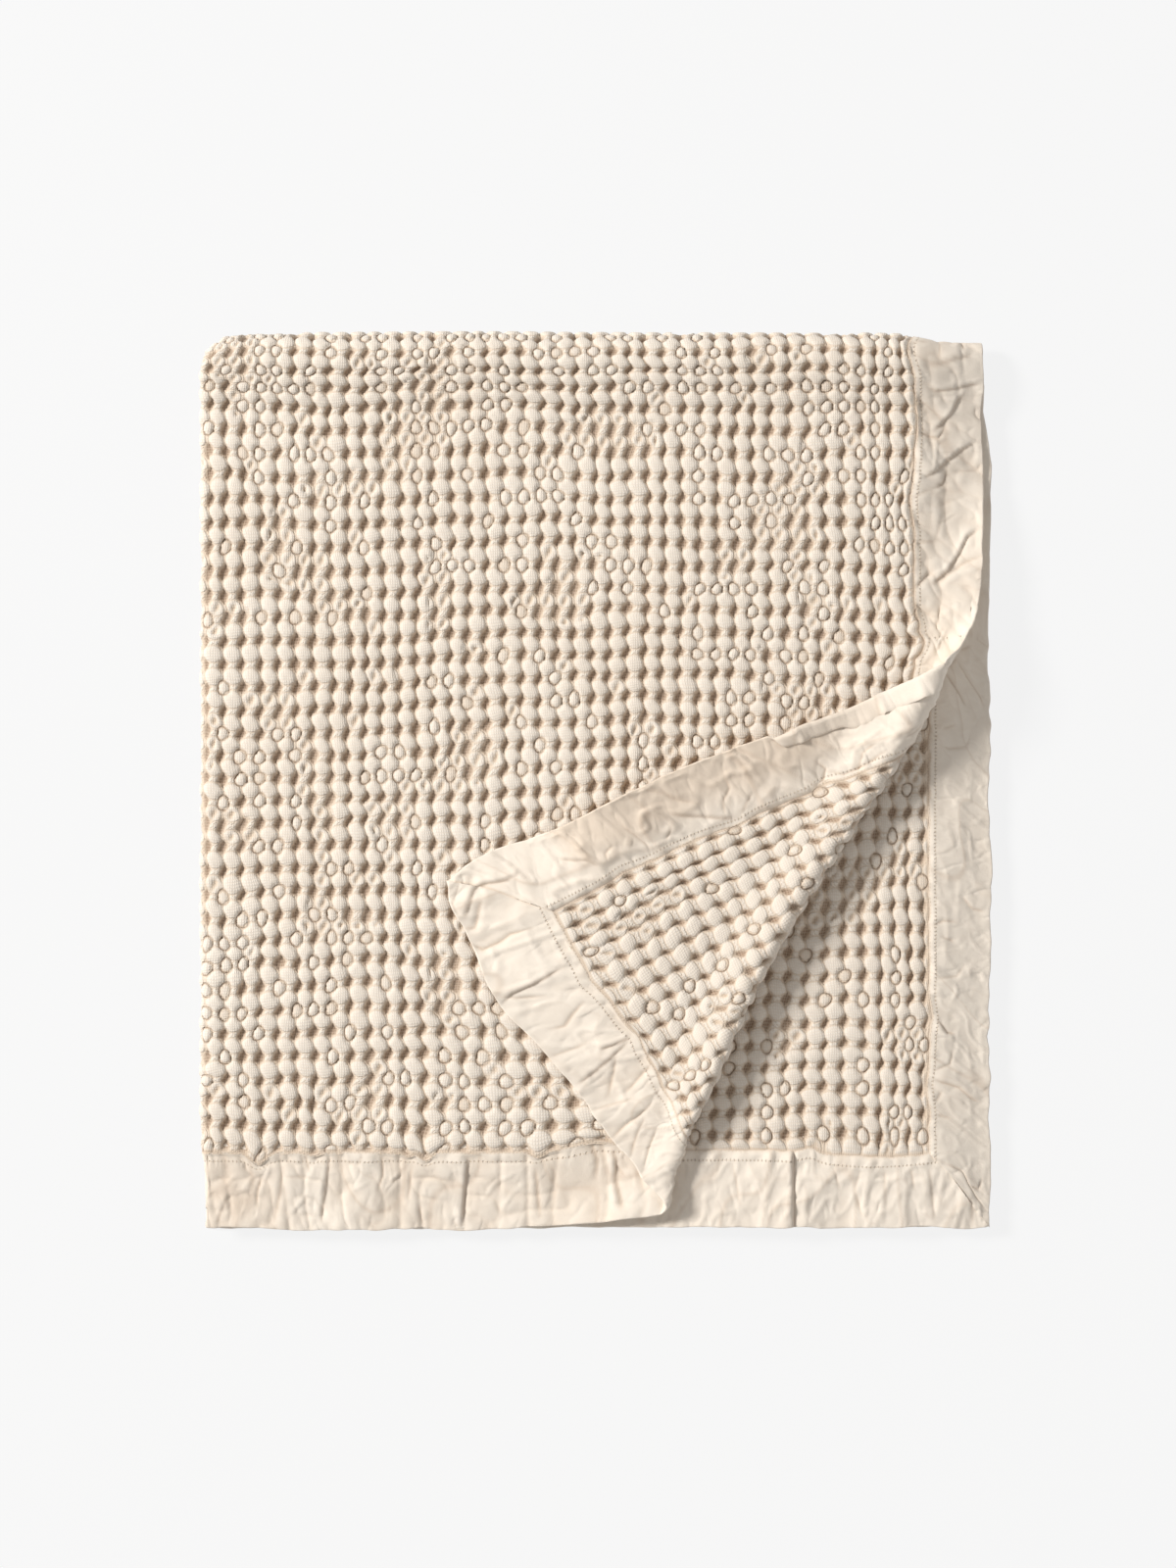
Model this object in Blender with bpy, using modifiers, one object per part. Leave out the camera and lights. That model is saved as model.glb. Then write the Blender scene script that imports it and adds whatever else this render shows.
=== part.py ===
"""A waffle weave cotton blanket, folded in quarters, with one corner of the top layer turned back.

The cloth is first cut flat: u runs across it and v along it, both from its middle. It is folded in half
at u = 0, which lies at the left, and then in half again at v = 0, which is the soft roll along the top.
All four corners then meet at the lower right, and the top layer's corner is turned back over it.
Metres, +Z up, and the stack rests on z = 0 with its lower edge towards -Y.
"""

import math

import bmesh
import bpy
import numpy as np

# The flat cloth
SHEET_WIDTH = 1.267
SHEET_LENGTH = 1.455
SIDE_BORDER = 0.054
END_BORDER = 0.062
PANEL_THICKNESS = 0.005
BORDER_THICKNESS = 0.002
SEAM_GAP = 0.0007
SEAM_PRESS = 0.45
SEAM_PRESS_WIDTH = 0.010

# The stack
LAYER_PITCH = 0.011
LEFT_EDGE = -0.3198
TOP_EDGE = 0.3636
TOP_ROLL_RADIUS = 0.016
TOP_ROLL_OVERSHOOT = math.radians(15.0)
TOP_ROLL_EASING = 0.060

# The turned corner: its fold line runs through this point at this angle from +X
TURN_POINT = (0.1003, -0.2200)
TURN_ANGLE = math.radians(57.0)
TURN_RADIUS = 0.0095
TURN_OVERSHOOT = math.radians(20.0)
TURN_EASING = 0.040
TURN_PITCH = 0.0085
TURN_FLARE_AT_SIDE = 0.7
TURN_FLARE_AT_END = 0.5
TURN_FLARE_START_AT_SIDE = 0.20
TURN_FLARE_RUN_AT_SIDE = 0.22
TURN_FLARE_START_AT_END = 0.02
TURN_FLARE_RUN_AT_END = 0.12
TURN_LEAD_IN = 0.060
TURN_SETTLED = 0.8

# How the cloth sags and lifts
BORDER_SAG = 0.45
TURNED_BORDER_SAG = 0.0028
BORDER_FOOT = 0.5 * BORDER_THICKNESS
GROUNDED_START = 0.06
GROUNDED_RUN = 0.08
LEVEL_BELOW = 0.008

# The free end's waves: each one's length, start and share, then what is left when they are levelled off
RUFFLE_HEIGHT = 0.0030
RUFFLE_WAVES = ((0.118, 0.6, 1.0), (0.067, 2.1, 0.7))
RUFFLE_LEVEL = 0.5
RUFFLE_SHARE = 0.35
RUFFLE_LIMIT = 1.2

# The stack's rise and fall: each wave's pace across, pace along, start and share
UNEVENNESS = 0.0004
UNEVEN_WAVES = ((7.0, 3.0, 0.4, 1.0), (-5.0, 9.0, 1.9, 0.8), (17.0, -6.0, 0.9, 0.5), (8.0, 21.0, 4.0, 0.4))

# The layers mix over these widths where the cloth turns, and their slack starts past the top roll
MIX_ACROSS = 0.10
MIX_ALONG = 0.20
SLACK_START = 0.02
SLACK_RUN = 0.10
SLACK_POWER = 3

# Slack of each layer: (across at its side seam, across at its side edge, along at its end edge)
LAYER_SLACK = {
    "top": (0.0000, 0.0000, 0.0000),
    "second": (0.0125, 0.0065, -0.0005),
    "third": (0.0060, 0.0040, 0.0015),
    "bottom": (0.0020, 0.0020, 0.0010),
}

# Share of a pull's reach that is its bell's spread
PULL_SPREAD = 0.6

# Where the top layer is pulled out of line: (x, y, move in x, move in y, reach)
TOP_PULLS = (
    (0.000, -0.250, 0.027, -0.002, 0.130),
    (0.045, -0.345, 0.042, 0.017, 0.080),
    (0.070, -0.030, -0.004, 0.0105, 0.190),
    (0.305, 0.100, -0.012, 0.000, 0.045),
)

# Where the whole stack's outline gives: (x, y, move in x, move in y, reach)
STACK_PULLS = (
    (-0.320, 0.364, 0.009, -0.008, 0.022),
    (0.315, 0.364, 0.000, -0.005, 0.060),
    (-0.100, 0.364, 0.000, 0.001, 0.120),
)

# The flat places past which the corner's turn may move the cloth, and past which it is cut along its roll
TURN_FIELD = (0.05, 0.10)
TURN_CUTS = (0.06, 0.12)

# Spacing of the flat cloth's crossing lines
FIELD_STEP = 0.050
HEM_STEP = 0.020
BEND_STEPS = 6
EASING_STEPS = 2
LEAST_STEP = 0.0015

# Colours, as linear red, green and blue
PANEL_COLOUR = (0.74, 0.64, 0.51)
BORDER_COLOUR = (0.80, 0.71, 0.58)

HALF_WIDTH = 0.5 * SHEET_WIDTH
HALF_LENGTH = 0.5 * SHEET_LENGTH
SIDE_SEAM = HALF_WIDTH - SIDE_BORDER
END_SEAM = HALF_LENGTH - END_BORDER
LEFT_FOLD_RADIUS = 0.5 * LAYER_PITCH


class Fold:
    """One turn of the cloth back over itself: a round bulb, a slope down from it and an easing to level."""

    def __init__(self, radius, overshoot, easing, rise):
        self.radius = radius
        self.easing = easing
        self.turn = math.pi + overshoot
        bulb_height = radius * (1.0 - math.cos(self.turn))
        drop = bulb_height - easing * (1.0 - math.cos(overshoot)) - rise
        self.bulb_end = radius * self.turn
        self.slope_end = self.bulb_end + (drop / math.sin(overshoot) if overshoot else 0.0)
        self.level_start = self.slope_end + easing * overshoot

    def place(self, t):
        """Distance out and height of the arc length t from the bulb's start, and the outer normal there."""
        t = np.asarray(t, dtype=float)
        bulb = np.clip(t, 0.0, self.bulb_end)
        slope = np.clip(t - self.bulb_end, 0.0, self.slope_end - self.bulb_end)
        ease = np.clip(t - self.slope_end, 0.0, self.level_start - self.slope_end)
        angle = bulb / self.radius
        eased = self.turn - ease / self.easing if self.easing else np.full_like(t, self.turn)
        out = np.minimum(t, 0.0) - np.maximum(t - self.level_start, 0.0)
        out += self.radius * np.sin(angle) + slope * math.cos(self.turn)
        out -= self.easing * (np.sin(eased) - math.sin(self.turn))
        height = self.radius * (1.0 - np.cos(angle)) + slope * math.sin(self.turn)
        height += self.easing * (np.cos(eased) - math.cos(self.turn))
        facing = np.where(t < self.slope_end, angle, eased)
        return out, height, np.sin(facing), -np.cos(facing)

    def lines(self):
        """Arc lengths at which the cloth needs a crossing line to follow this fold."""
        marks = [self.bulb_end * i / BEND_STEPS for i in range(BEND_STEPS + 1)]
        ease = self.level_start - self.slope_end
        if ease > 0.0:
            marks += [self.slope_end + ease * i / EASING_STEPS for i in range(EASING_STEPS + 1)]
        return marks


LEFT_FOLD = Fold(LEFT_FOLD_RADIUS, 0.0, 0.0, LAYER_PITCH)
TOP_FOLD = Fold(TOP_ROLL_RADIUS, TOP_ROLL_OVERSHOOT, TOP_ROLL_EASING, 2.0 * LAYER_PITCH)
TURN_FOLD = Fold(TURN_RADIUS, TURN_OVERSHOOT, TURN_EASING, TURN_PITCH)

LEFT_FOLD_START = -0.5 * math.pi * LEFT_FOLD_RADIUS
TOP_FOLD_START = -0.5 * math.pi * TOP_ROLL_RADIUS
LEFT_AXIS = LEFT_EDGE + 0.5 * PANEL_THICKNESS + LEFT_FOLD_RADIUS
TOP_AXIS = TOP_EDGE - 0.5 * PANEL_THICKNESS - LEFT_FOLD_RADIUS - TOP_ROLL_RADIUS
FLOOR_LAYER = 0.5 * PANEL_THICKNESS + LEFT_FOLD_RADIUS


def smooth_step(x):
    """0 below 0, 1 above 1, and a smooth rise between them."""
    x = np.clip(x, 0.0, 1.0)
    return x * x * (3.0 - 2.0 * x)


def layer_weights(u, v):
    """How much of each layer a point belongs to, mixed smoothly where the cloth turns."""
    right = smooth_step(0.5 + u / MIX_ACROSS)
    upper = smooth_step(0.5 + v / MIX_ALONG)
    return {
        "top": right * upper,
        "second": (1.0 - right) * upper,
        "third": (1.0 - right) * (1.0 - upper),
        "bottom": right * (1.0 - upper),
    }


def border_depth(u, v):
    """0 over the panel, rising across a border to 1 at its free edge."""
    side = (np.abs(u) - SIDE_SEAM) / SIDE_BORDER
    end = (np.abs(v) - END_SEAM) / END_BORDER
    return smooth_step(np.maximum(side, end))


def turn_frame():
    """The turned corner's fold line: a point on it, its direction and the direction towards the corner."""
    along = np.array((math.cos(TURN_ANGLE), math.sin(TURN_ANGLE)))
    away = np.array((math.sin(TURN_ANGLE), -math.cos(TURN_ANGLE)))
    return np.array(TURN_POINT), along, away


def turn_scale(along):
    """How wide the turned corner's roll is, by the distance along its fold line."""
    to_side = smooth_step((along - TURN_FLARE_START_AT_SIDE) / TURN_FLARE_RUN_AT_SIDE)
    to_end = smooth_step((-TURN_FLARE_START_AT_END - along) / TURN_FLARE_RUN_AT_END)
    return 1.0 + TURN_FLARE_AT_SIDE * to_side + TURN_FLARE_AT_END * to_end


def turn_reach():
    """The arc length from the roll's start that lies on the fold line once the corner is flat."""
    out, _, _, _ = TURN_FOLD.place(TURN_FOLD.level_start)
    return 0.5 * (float(out) + TURN_FOLD.level_start)


def ruffle(u, v):
    """Small upward waves of the end borders' free edge, in the upper two layers."""
    waves = sum(share * np.sin(2.0 * math.pi * u / length + start) for length, start, share in RUFFLE_WAVES)
    end = smooth_step((v - END_SEAM) / END_BORDER)
    return RUFFLE_HEIGHT * end * np.clip(RUFFLE_LEVEL + RUFFLE_SHARE * waves, 0.0, RUFFLE_LIMIT)


def unevenness(x, y):
    """The stack's slight rise and fall, for each LEVEL_BELOW of height above its lowest layer."""
    return UNEVENNESS * sum(
        share * np.sin(across * x + along * y + start) for across, along, start, share in UNEVEN_WAVES
    )


def pulled(x, y, pulls, weight):
    """Moves points sideways near each pull, most at its middle."""
    for at_x, at_y, move_x, move_y, reach in pulls:
        spread = 2.0 * (PULL_SPREAD * reach) ** 2
        near = weight * np.exp(-((x - at_x) ** 2 + (y - at_y) ** 2) / spread)
        x, y = x + move_x * near, y + move_y * near
    return x, y


def stacked(u, v, weights):
    """Where the cloth lies once it is folded both ways, with each layer's slack let out."""
    out, height, _, _ = LEFT_FOLD.place(u - LEFT_FOLD_START)
    x = LEFT_AXIS - out
    offset = height - LEFT_FOLD_RADIUS
    out, height, normal_out, normal_up = TOP_FOLD.place(v - TOP_FOLD_START)
    y = TOP_AXIS + out + offset * normal_out
    z = FLOOR_LAYER + height + offset * normal_up

    below_roll = smooth_step((np.abs(v) - SLACK_START) / SLACK_RUN)
    side_depth = smooth_step((np.abs(u) - SIDE_SEAM) / SIDE_BORDER)
    for name, (at_seam, at_edge, along) in LAYER_SLACK.items():
        inner = at_seam * (np.abs(u) / SIDE_SEAM) ** SLACK_POWER * (1.0 - side_depth)
        x = x + weights[name] * (inner + at_edge * side_depth) * below_roll
        y = y - weights[name] * along * (np.abs(v) / HALF_LENGTH) ** SLACK_POWER
    return x, y, z


def past_turn(x, y, u, v):
    """How far past the start of the turned corner's roll each point lies, and how wide the roll is there."""
    point, line, away = turn_frame()
    beyond = (x - point[0]) * away[0] + (y - point[1]) * away[1]
    scale = turn_scale((x - point[0]) * line[0] + (y - point[1]) * line[1])
    field = (u > TURN_FIELD[0]) & (v > TURN_FIELD[1])
    return np.where(field, beyond / scale + turn_reach(), -1.0), scale


def cloth_points(u, v):
    """Where the middle of the cloth's thickness lies for flat places u and v."""
    weights = layer_weights(u, v)
    x, y, z = stacked(u, v, weights)
    from_start, scale = past_turn(x, y, u, v)
    turned = smooth_step(from_start / (TURN_SETTLED * TURN_FOLD.level_start))
    near_turn = smooth_step(1.0 + from_start * scale / TURN_LEAD_IN)

    depth = border_depth(u, v)
    grounded = weights["bottom"] * smooth_step((np.abs(v) - GROUNDED_START) / GROUNDED_RUN)
    sag = (BORDER_SAG + (1.0 - BORDER_SAG) * grounded) * depth * (1.0 - near_turn)
    z = BORDER_FOOT + (z - BORDER_FOOT) * (1.0 - sag)
    z = z + ruffle(u, v) * (1.0 - near_turn)

    _, _, away = turn_frame()
    out, height, _, _ = TURN_FOLD.place(np.maximum(from_start, 0.0))
    moved = scale * (out - np.maximum(from_start, 0.0))
    x = x + moved * away[0]
    y = y + moved * away[1]
    z = z + scale * height - TURNED_BORDER_SAG * depth * turned

    x, y = pulled(x, y, TOP_PULLS, weights["top"])
    x, y = pulled(x, y, STACK_PULLS, 1.0)
    z = z + unevenness(x, y) * np.maximum(z - LEVEL_BELOW, 0.0) / LEVEL_BELOW
    return np.stack((x, y, z), axis=-1)


def field_lines(start, end, step):
    """Evenly spaced lines from start to end, no further apart than step."""
    count = max(1, math.ceil((end - start) / step))
    return [start + (end - start) * i / count for i in range(count + 1)]


def mirrored(lines):
    """The lines and their mirror images, sorted, without those that nearly coincide."""
    kept = []
    for line in sorted(lines + [-x for x in lines]):
        if not kept or line - kept[-1] > LEAST_STEP:
            kept.append(line)
    return kept


def across_lines():
    """Where the flat cloth is crossed by lines of constant u."""
    fold = [LEFT_FOLD_START + t for t in LEFT_FOLD.lines()]
    press = SIDE_SEAM - SEAM_PRESS_WIDTH
    return mirrored(fold + field_lines(-LEFT_FOLD_START, press, FIELD_STEP)[1:] + [SIDE_SEAM])


def along_lines():
    """Where the flat cloth is crossed by lines of constant v."""
    fold = [TOP_FOLD_START + t for t in TOP_FOLD.lines()]
    level = TOP_FOLD_START + TOP_FOLD.level_start
    press = END_SEAM - SEAM_PRESS_WIDTH
    upper = field_lines(level, press, FIELD_STEP)[1:] + [END_SEAM]
    lower = field_lines(-TOP_FOLD_START, press, FIELD_STEP)[1:] + [END_SEAM]
    return sorted(fold + upper + [-v for v in lower])


def flat_to_world(u, v):
    """Level place of a flat point of the top layer, before the corner is turned."""
    out, _, _, _ = TOP_FOLD.place(v - TOP_FOLD_START)
    return LEFT_AXIS + u + LEFT_FOLD_START, TOP_AXIS + float(out)


def cut_line(mesh, co, normal, keep=None):
    """Cuts the flat mesh along a line, only through the faces that keep allows."""
    faces = [f for f in mesh.faces if keep is None or keep(f.calc_center_median())]
    edges = {e for f in faces for e in f.edges}
    verts = {v for f in faces for v in f.verts}
    bmesh.ops.bisect_plane(
        mesh,
        geom=list(verts) + list(edges) + faces,
        dist=1e-6,
        plane_co=(co[0], co[1], 0.0),
        plane_no=(normal[0], normal[1], 0.0),
    )


def cut_turned_corner(mesh):
    """Lines along the turned corner's roll, in the top layer alone."""
    point, _, away = turn_frame()
    corner_x, corner_y = flat_to_world(HALF_WIDTH, HALF_LENGTH)
    offset_x, offset_y = HALF_WIDTH - corner_x, HALF_LENGTH + corner_y
    for t in TURN_FOLD.lines():
        beyond = t - turn_reach()
        x, y = point + away * beyond
        place = (x + offset_x, offset_y - y)
        cut_line(mesh, place, (away[0], -away[1]), keep=lambda c: c.x > TURN_CUTS[0] and c.y > TURN_CUTS[1])


def flat_piece(outline, mitres=()):
    """A flat mesh of a rectangle (u0, u1, v0, v1), with the mitred ends cut away."""
    u0, u1, v0, v1 = outline
    mesh = bmesh.new()
    bmesh.ops.create_grid(mesh, x_segments=1, y_segments=1, size=0.5)
    for vert in mesh.verts:
        vert.co = (u0 + (vert.co.x + 0.5) * (u1 - u0), v0 + (vert.co.y + 0.5) * (v1 - v0), 0.0)
    for place, normal in mitres:
        bmesh.ops.bisect_plane(
            mesh,
            geom=mesh.verts[:] + mesh.edges[:] + mesh.faces[:],
            dist=1e-6,
            plane_co=(*place, 0.0),
            plane_no=(*normal, 0.0),
            clear_outer=True,
        )
    return mesh


def pressed(places):
    """Share of its thickness that the panel keeps: less along its seams, where the weave is sewn down."""
    at_side = np.abs(places[:, 0]) > SIDE_SEAM - 0.5 * SEAM_PRESS_WIDTH
    at_end = np.abs(places[:, 1]) > END_SEAM - 0.5 * SEAM_PRESS_WIDTH
    return np.where(at_side | at_end, SEAM_PRESS, 1.0)


def fold_piece(name, mesh, thickness, colour, collection):
    """Folds a flat mesh with the blanket and gives it its thickness."""
    places = np.array([vert.co[:2] for vert in mesh.verts])
    for vert, place in zip(mesh.verts, cloth_points(places[:, 0], places[:, 1])):
        vert.co = place
    bmesh.ops.recalc_face_normals(mesh, faces=mesh.faces[:])
    data = bpy.data.meshes.new(name)
    mesh.to_mesh(data)
    mesh.free()
    data.shade_smooth()
    piece = bpy.data.objects.new(name, data)
    collection.objects.link(piece)
    piece.data.materials.append(cotton(name, colour))
    loft = piece.vertex_groups.new(name="loft")
    for index, share in enumerate(pressed(places)):
        loft.add([index], float(share) if thickness > BORDER_THICKNESS else 1.0, "REPLACE")
    solidify = piece.modifiers.new("Thickness", "SOLIDIFY")
    solidify.thickness = thickness
    solidify.offset = 0.0
    solidify.vertex_group = loft.name
    return piece


def cotton(name, colour):
    """Soft matt cotton."""
    material = bpy.data.materials.new(name + "_cotton")
    material.use_nodes = True
    shader = material.node_tree.nodes["Principled BSDF"]
    shader.inputs["Base Color"].default_value = (*colour, 1.0)
    shader.inputs["Roughness"].default_value = 0.9
    shader.inputs["Metallic"].default_value = 0.0
    return material


def waffle_panel(collection):
    """The woven centre panel, through all four layers."""
    mesh = flat_piece((-SIDE_SEAM, SIDE_SEAM, -END_SEAM, END_SEAM))
    for u in across_lines()[1:-1]:
        cut_line(mesh, (u, 0.0), (1.0, 0.0))
    for v in along_lines()[1:-1]:
        cut_line(mesh, (0.0, v), (0.0, 1.0))
    cut_turned_corner(mesh)
    return fold_piece("waffle_panel", mesh, PANEL_THICKNESS, PANEL_COLOUR, collection)


def mitre(u_sign, v_sign, outer):
    """The cut across a border's end: a point on it and the direction that is cut away."""
    normal = np.array((-u_sign * END_BORDER, v_sign * SIDE_BORDER)) * (1.0 if outer == "side" else -1.0)
    normal /= np.linalg.norm(normal)
    place = np.array((u_sign * HALF_WIDTH, v_sign * HALF_LENGTH)) - normal * 0.5 * SEAM_GAP
    return tuple(place), tuple(normal)


def side_border(name, u_sign, collection):
    """The plain strip along one long side, mitred at both ends."""
    inner = u_sign * (SIDE_SEAM + SEAM_GAP)
    u0, u1 = sorted((inner, u_sign * HALF_WIDTH))
    ends = [mitre(u_sign, v_sign, "side") for v_sign in (-1.0, 1.0)]
    mesh = flat_piece((u0, u1, -HALF_LENGTH, HALF_LENGTH), ends)
    cut_line(mesh, (0.5 * (u0 + u1), 0.0), (1.0, 0.0))
    for v in along_lines():
        cut_line(mesh, (0.0, v), (0.0, 1.0))
    if u_sign > 0.0:
        cut_turned_corner(mesh)
    return fold_piece(name, mesh, BORDER_THICKNESS, BORDER_COLOUR, collection)


def end_border(name, v_sign, collection):
    """The plain strip along one short side, mitred at both ends."""
    inner = v_sign * (END_SEAM + SEAM_GAP)
    v0, v1 = sorted((inner, v_sign * HALF_LENGTH))
    ends = [mitre(u_sign, v_sign, "end") for u_sign in (-1.0, 1.0)]
    mesh = flat_piece((-HALF_WIDTH, HALF_WIDTH, v0, v1), ends)
    cut_line(mesh, (0.0, 0.5 * (v0 + v1)), (0.0, 1.0))
    lines = across_lines()
    if v_sign > 0.0:
        lines += field_lines(-LEFT_FOLD_START, SIDE_SEAM, HEM_STEP)
    for u in sorted(lines):
        cut_line(mesh, (u, 0.0), (1.0, 0.0))
    if v_sign > 0.0:
        cut_turned_corner(mesh)
    return fold_piece(name, mesh, BORDER_THICKNESS, BORDER_COLOUR, collection)


def main():
    for thing in list(bpy.data.objects):
        bpy.data.objects.remove(thing)
    collection = bpy.data.collections.new("waffle_weave_blanket")
    bpy.context.scene.collection.children.link(collection)
    waffle_panel(collection)
    side_border("side_border_outer", 1.0, collection)
    side_border("side_border_inner", -1.0, collection)
    end_border("end_border_upper", 1.0, collection)
    end_border("end_border_lower", -1.0, collection)


main()
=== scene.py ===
"""Dresses a folded waffle weave cotton blanket: its weave, plain borders, seams, finishes and studio.

The flat cloth has u across it and v along it, both from its middle. It is folded in half at u = 0, at
the left, then at v = 0, along the top, and the top layer's corner is turned back over it. Side A of the
cloth faces out of the stack; side B shows on the turned corner and on the layer beneath it.
"""

from __future__ import annotations

import logging
import math
from dataclasses import dataclass, field
from enum import Enum
from typing import Sequence

import bpy
import numpy as np
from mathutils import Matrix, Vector


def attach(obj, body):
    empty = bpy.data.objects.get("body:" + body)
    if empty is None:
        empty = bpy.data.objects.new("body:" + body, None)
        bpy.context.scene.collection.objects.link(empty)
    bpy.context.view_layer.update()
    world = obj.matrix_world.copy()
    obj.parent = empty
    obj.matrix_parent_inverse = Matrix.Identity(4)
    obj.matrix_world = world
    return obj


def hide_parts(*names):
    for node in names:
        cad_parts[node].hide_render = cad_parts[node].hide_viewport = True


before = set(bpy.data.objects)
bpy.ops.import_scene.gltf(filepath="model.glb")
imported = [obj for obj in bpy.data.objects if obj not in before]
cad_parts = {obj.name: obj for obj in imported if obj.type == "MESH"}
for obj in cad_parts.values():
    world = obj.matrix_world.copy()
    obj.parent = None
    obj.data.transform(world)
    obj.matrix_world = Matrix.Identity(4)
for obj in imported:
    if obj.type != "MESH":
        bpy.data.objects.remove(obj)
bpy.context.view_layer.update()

LOG = logging.getLogger("blanket")

Array = np.ndarray

NOISE_CELLS = 256
RIDGE_SHARPNESS = 2.2
PULL_SPREAD = 0.6
LEAST_HEIGHT = 0.0002
TINY = 1e-12

# Waves of the end borders' free edge: length, start and share.
RUFFLE_WAVES = ((0.118, 0.6, 1.0), (0.067, 2.1, 0.7))
# Waves of the stack's lie: turns across and along, start and share, two slow and two quick.
SLOW_WAVES = ((7.0, 3.0, 0.4, 1.0), (-5.0, 9.0, 1.9, 0.8))
QUICK_WAVES = ((17.0, -6.0, 0.9, 0.5), (8.0, 21.0, 4.0, 0.4))


class Face(Enum):
    """The two sides of the cloth."""

    A = 1.0
    B = -1.0


class Slot(Enum):
    """The record's material slots."""

    WAFFLE = "waffle_cotton"
    BORDER = "border_cotton"


@dataclass(frozen=True)
class Sheet:
    """The flat cloth's sizes, in metres."""

    width: float = 1.267
    length: float = 1.455
    side_border: float = 0.054
    end_border: float = 0.062
    panel_thickness: float = 0.005
    border_thickness: float = 0.002

    @property
    def half_width(self) -> float:
        """Half of the cut width."""
        return 0.5 * self.width

    @property
    def half_length(self) -> float:
        """Half of the cut length."""
        return 0.5 * self.length

    @property
    def side_seam(self) -> float:
        """Distance of a side border's seam from the middle."""
        return self.half_width - self.side_border

    @property
    def end_seam(self) -> float:
        """Distance of an end border's seam from the middle."""
        return self.half_length - self.end_border


@dataclass(frozen=True)
class Pull:
    """A place where cloth is drawn sideways: where, how far and over what reach, in metres."""

    x: float
    y: float
    move_x: float
    move_y: float
    reach: float


@dataclass(frozen=True)
class Sway:
    """A flat place where a seam wanders: how far it moves and over what reach each way, in metres."""

    u: float
    v: float
    move_u: float
    move_v: float
    reach_u: float
    reach_v: float


@dataclass(frozen=True)
class Slack:
    """How far one layer strays: at its side seam, its side edge and its end edge, in metres."""

    at_seam: float
    at_edge: float
    along: float


def smooth_step(x: Array) -> Array:
    """0 below 0, 1 above 1, and a smooth rise between them."""
    x = np.clip(x, 0.0, 1.0)
    return x * x * (3.0 - 2.0 * x)


@dataclass(frozen=True)
class Ramp:
    """A smooth rise to a size: where it starts and over what run, in metres."""

    size: float
    start: float
    run: float

    def at(self, x: Array) -> Array:
        """The share of the rise that each place has reached, times the size."""
        return self.size * smooth_step((x - self.start) / self.run)


def bell(x: Array, width: float) -> Array:
    """A smooth bump of height 1 about 0."""
    return np.exp(-((x / width) ** 2))


def lattice_noise(x: Array, y: Array, seed: int) -> Array:
    """Smooth noise from -1 to 1 with one cell per unit.

    Args:
        x: Places across, in cells.
        y: Places along, in cells.
        seed: Which noise to draw.

    Returns:
        The noise at each place.
    """
    table = np.random.default_rng(seed).uniform(-1.0, 1.0, (NOISE_CELLS, NOISE_CELLS))
    i, j = np.floor(x).astype(int), np.floor(y).astype(int)
    fx, fy = x - i, y - j
    fx, fy = fx * fx * (3.0 - 2.0 * fx), fy * fy * (3.0 - 2.0 * fy)
    i, j = i % NOISE_CELLS, j % NOISE_CELLS
    next_i, next_j = (i + 1) % NOISE_CELLS, (j + 1) % NOISE_CELLS
    near = table[i, j] * (1.0 - fx) + table[next_i, j] * fx
    far = table[i, next_j] * (1.0 - fx) + table[next_i, next_j] * fx
    return near * (1.0 - fy) + far * fy


def ridged(x: Array, y: Array, seed: int, sharp: float = 1.0) -> Array:
    """Noise folded at 0, so that narrow ridges of height 1 wander through level ground."""
    return (1.0 - np.minimum(1.0, RIDGE_SHARPNESS * np.abs(lattice_noise(x, y, seed)))) ** sharp


def tenths(kind: type, *rows: tuple[int, ...]) -> tuple:
    """Makes one of a kind from each row of its sizes, in tenths of a millimetre."""
    return tuple(kind(*(size / 10000.0 for size in row)) for row in rows)


# Rows of a pull: x, y, move_x, move_y and reach.
TOP_PULLS = tenths(
    Pull,
    (0, -2500, 270, -20, 1300), (450, -3450, 420, 170, 800), (700, -300, -40, 105, 1900),
    (3050, 1000, -120, 0, 450), (840, -2990, -175, 0, 460), (460, -3450, 90, 10, 220),
)
FLAP_PULLS = tenths(
    Pull,
    (-616, -1670, -150, -40, 550), (-1090, -880, -130, 40, 450), (-774, -580, 0, 70, 420),
)
STACK_PULLS = tenths(
    Pull,
    (-3200, 3640, 90, -80, 220), (3150, 3640, 0, -50, 600), (-1000, 3640, 0, 10, 1200),
)
# Rows of a sway: u, v, move_u, move_v, reach_u and reach_v.
SWAYS = tenths(
    Sway,
    (480, 6630, 0, 95, 85, 150), (920, 6630, 0, 26, 60, 100), (1660, 6630, 0, 30, 40, 80),
    (1790, 6630, 0, 68, 60, 110), (2540, 6630, 0, 46, 55, 100), (2850, 6630, 0, -45, 120, 120),
    (5800, 2540, 125, 0, 240, 190), (5800, 2460, -50, 0, 120, 45), (5800, 2680, -30, 0, 120, 40),
    (5780, 1400, -35, 0, 120, 180), (5780, 180, -60, 0, 160, 120), (5780, 780, 20, 0, 100, 160),
    (-5350, 6680, 0, 58, 480, 160), (-4860, 6680, 0, -40, 80, 140), (-5800, 5600, -20, 0, 120, 120),
    (-5800, 6100, 22, 0, 120, 130), (5200, 6680, 0, 30, 90, 120), (4700, 6680, 0, -34, 80, 120),
    (4250, 6680, 0, 30, 100, 120), (5820, 4200, 34, 0, 120, 110), (5820, 5000, -30, 0, 120, 180),
    (5820, 6000, 24, 0, 120, 140), (6335, 7275, -65, -65, 170, 170),
)


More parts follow.
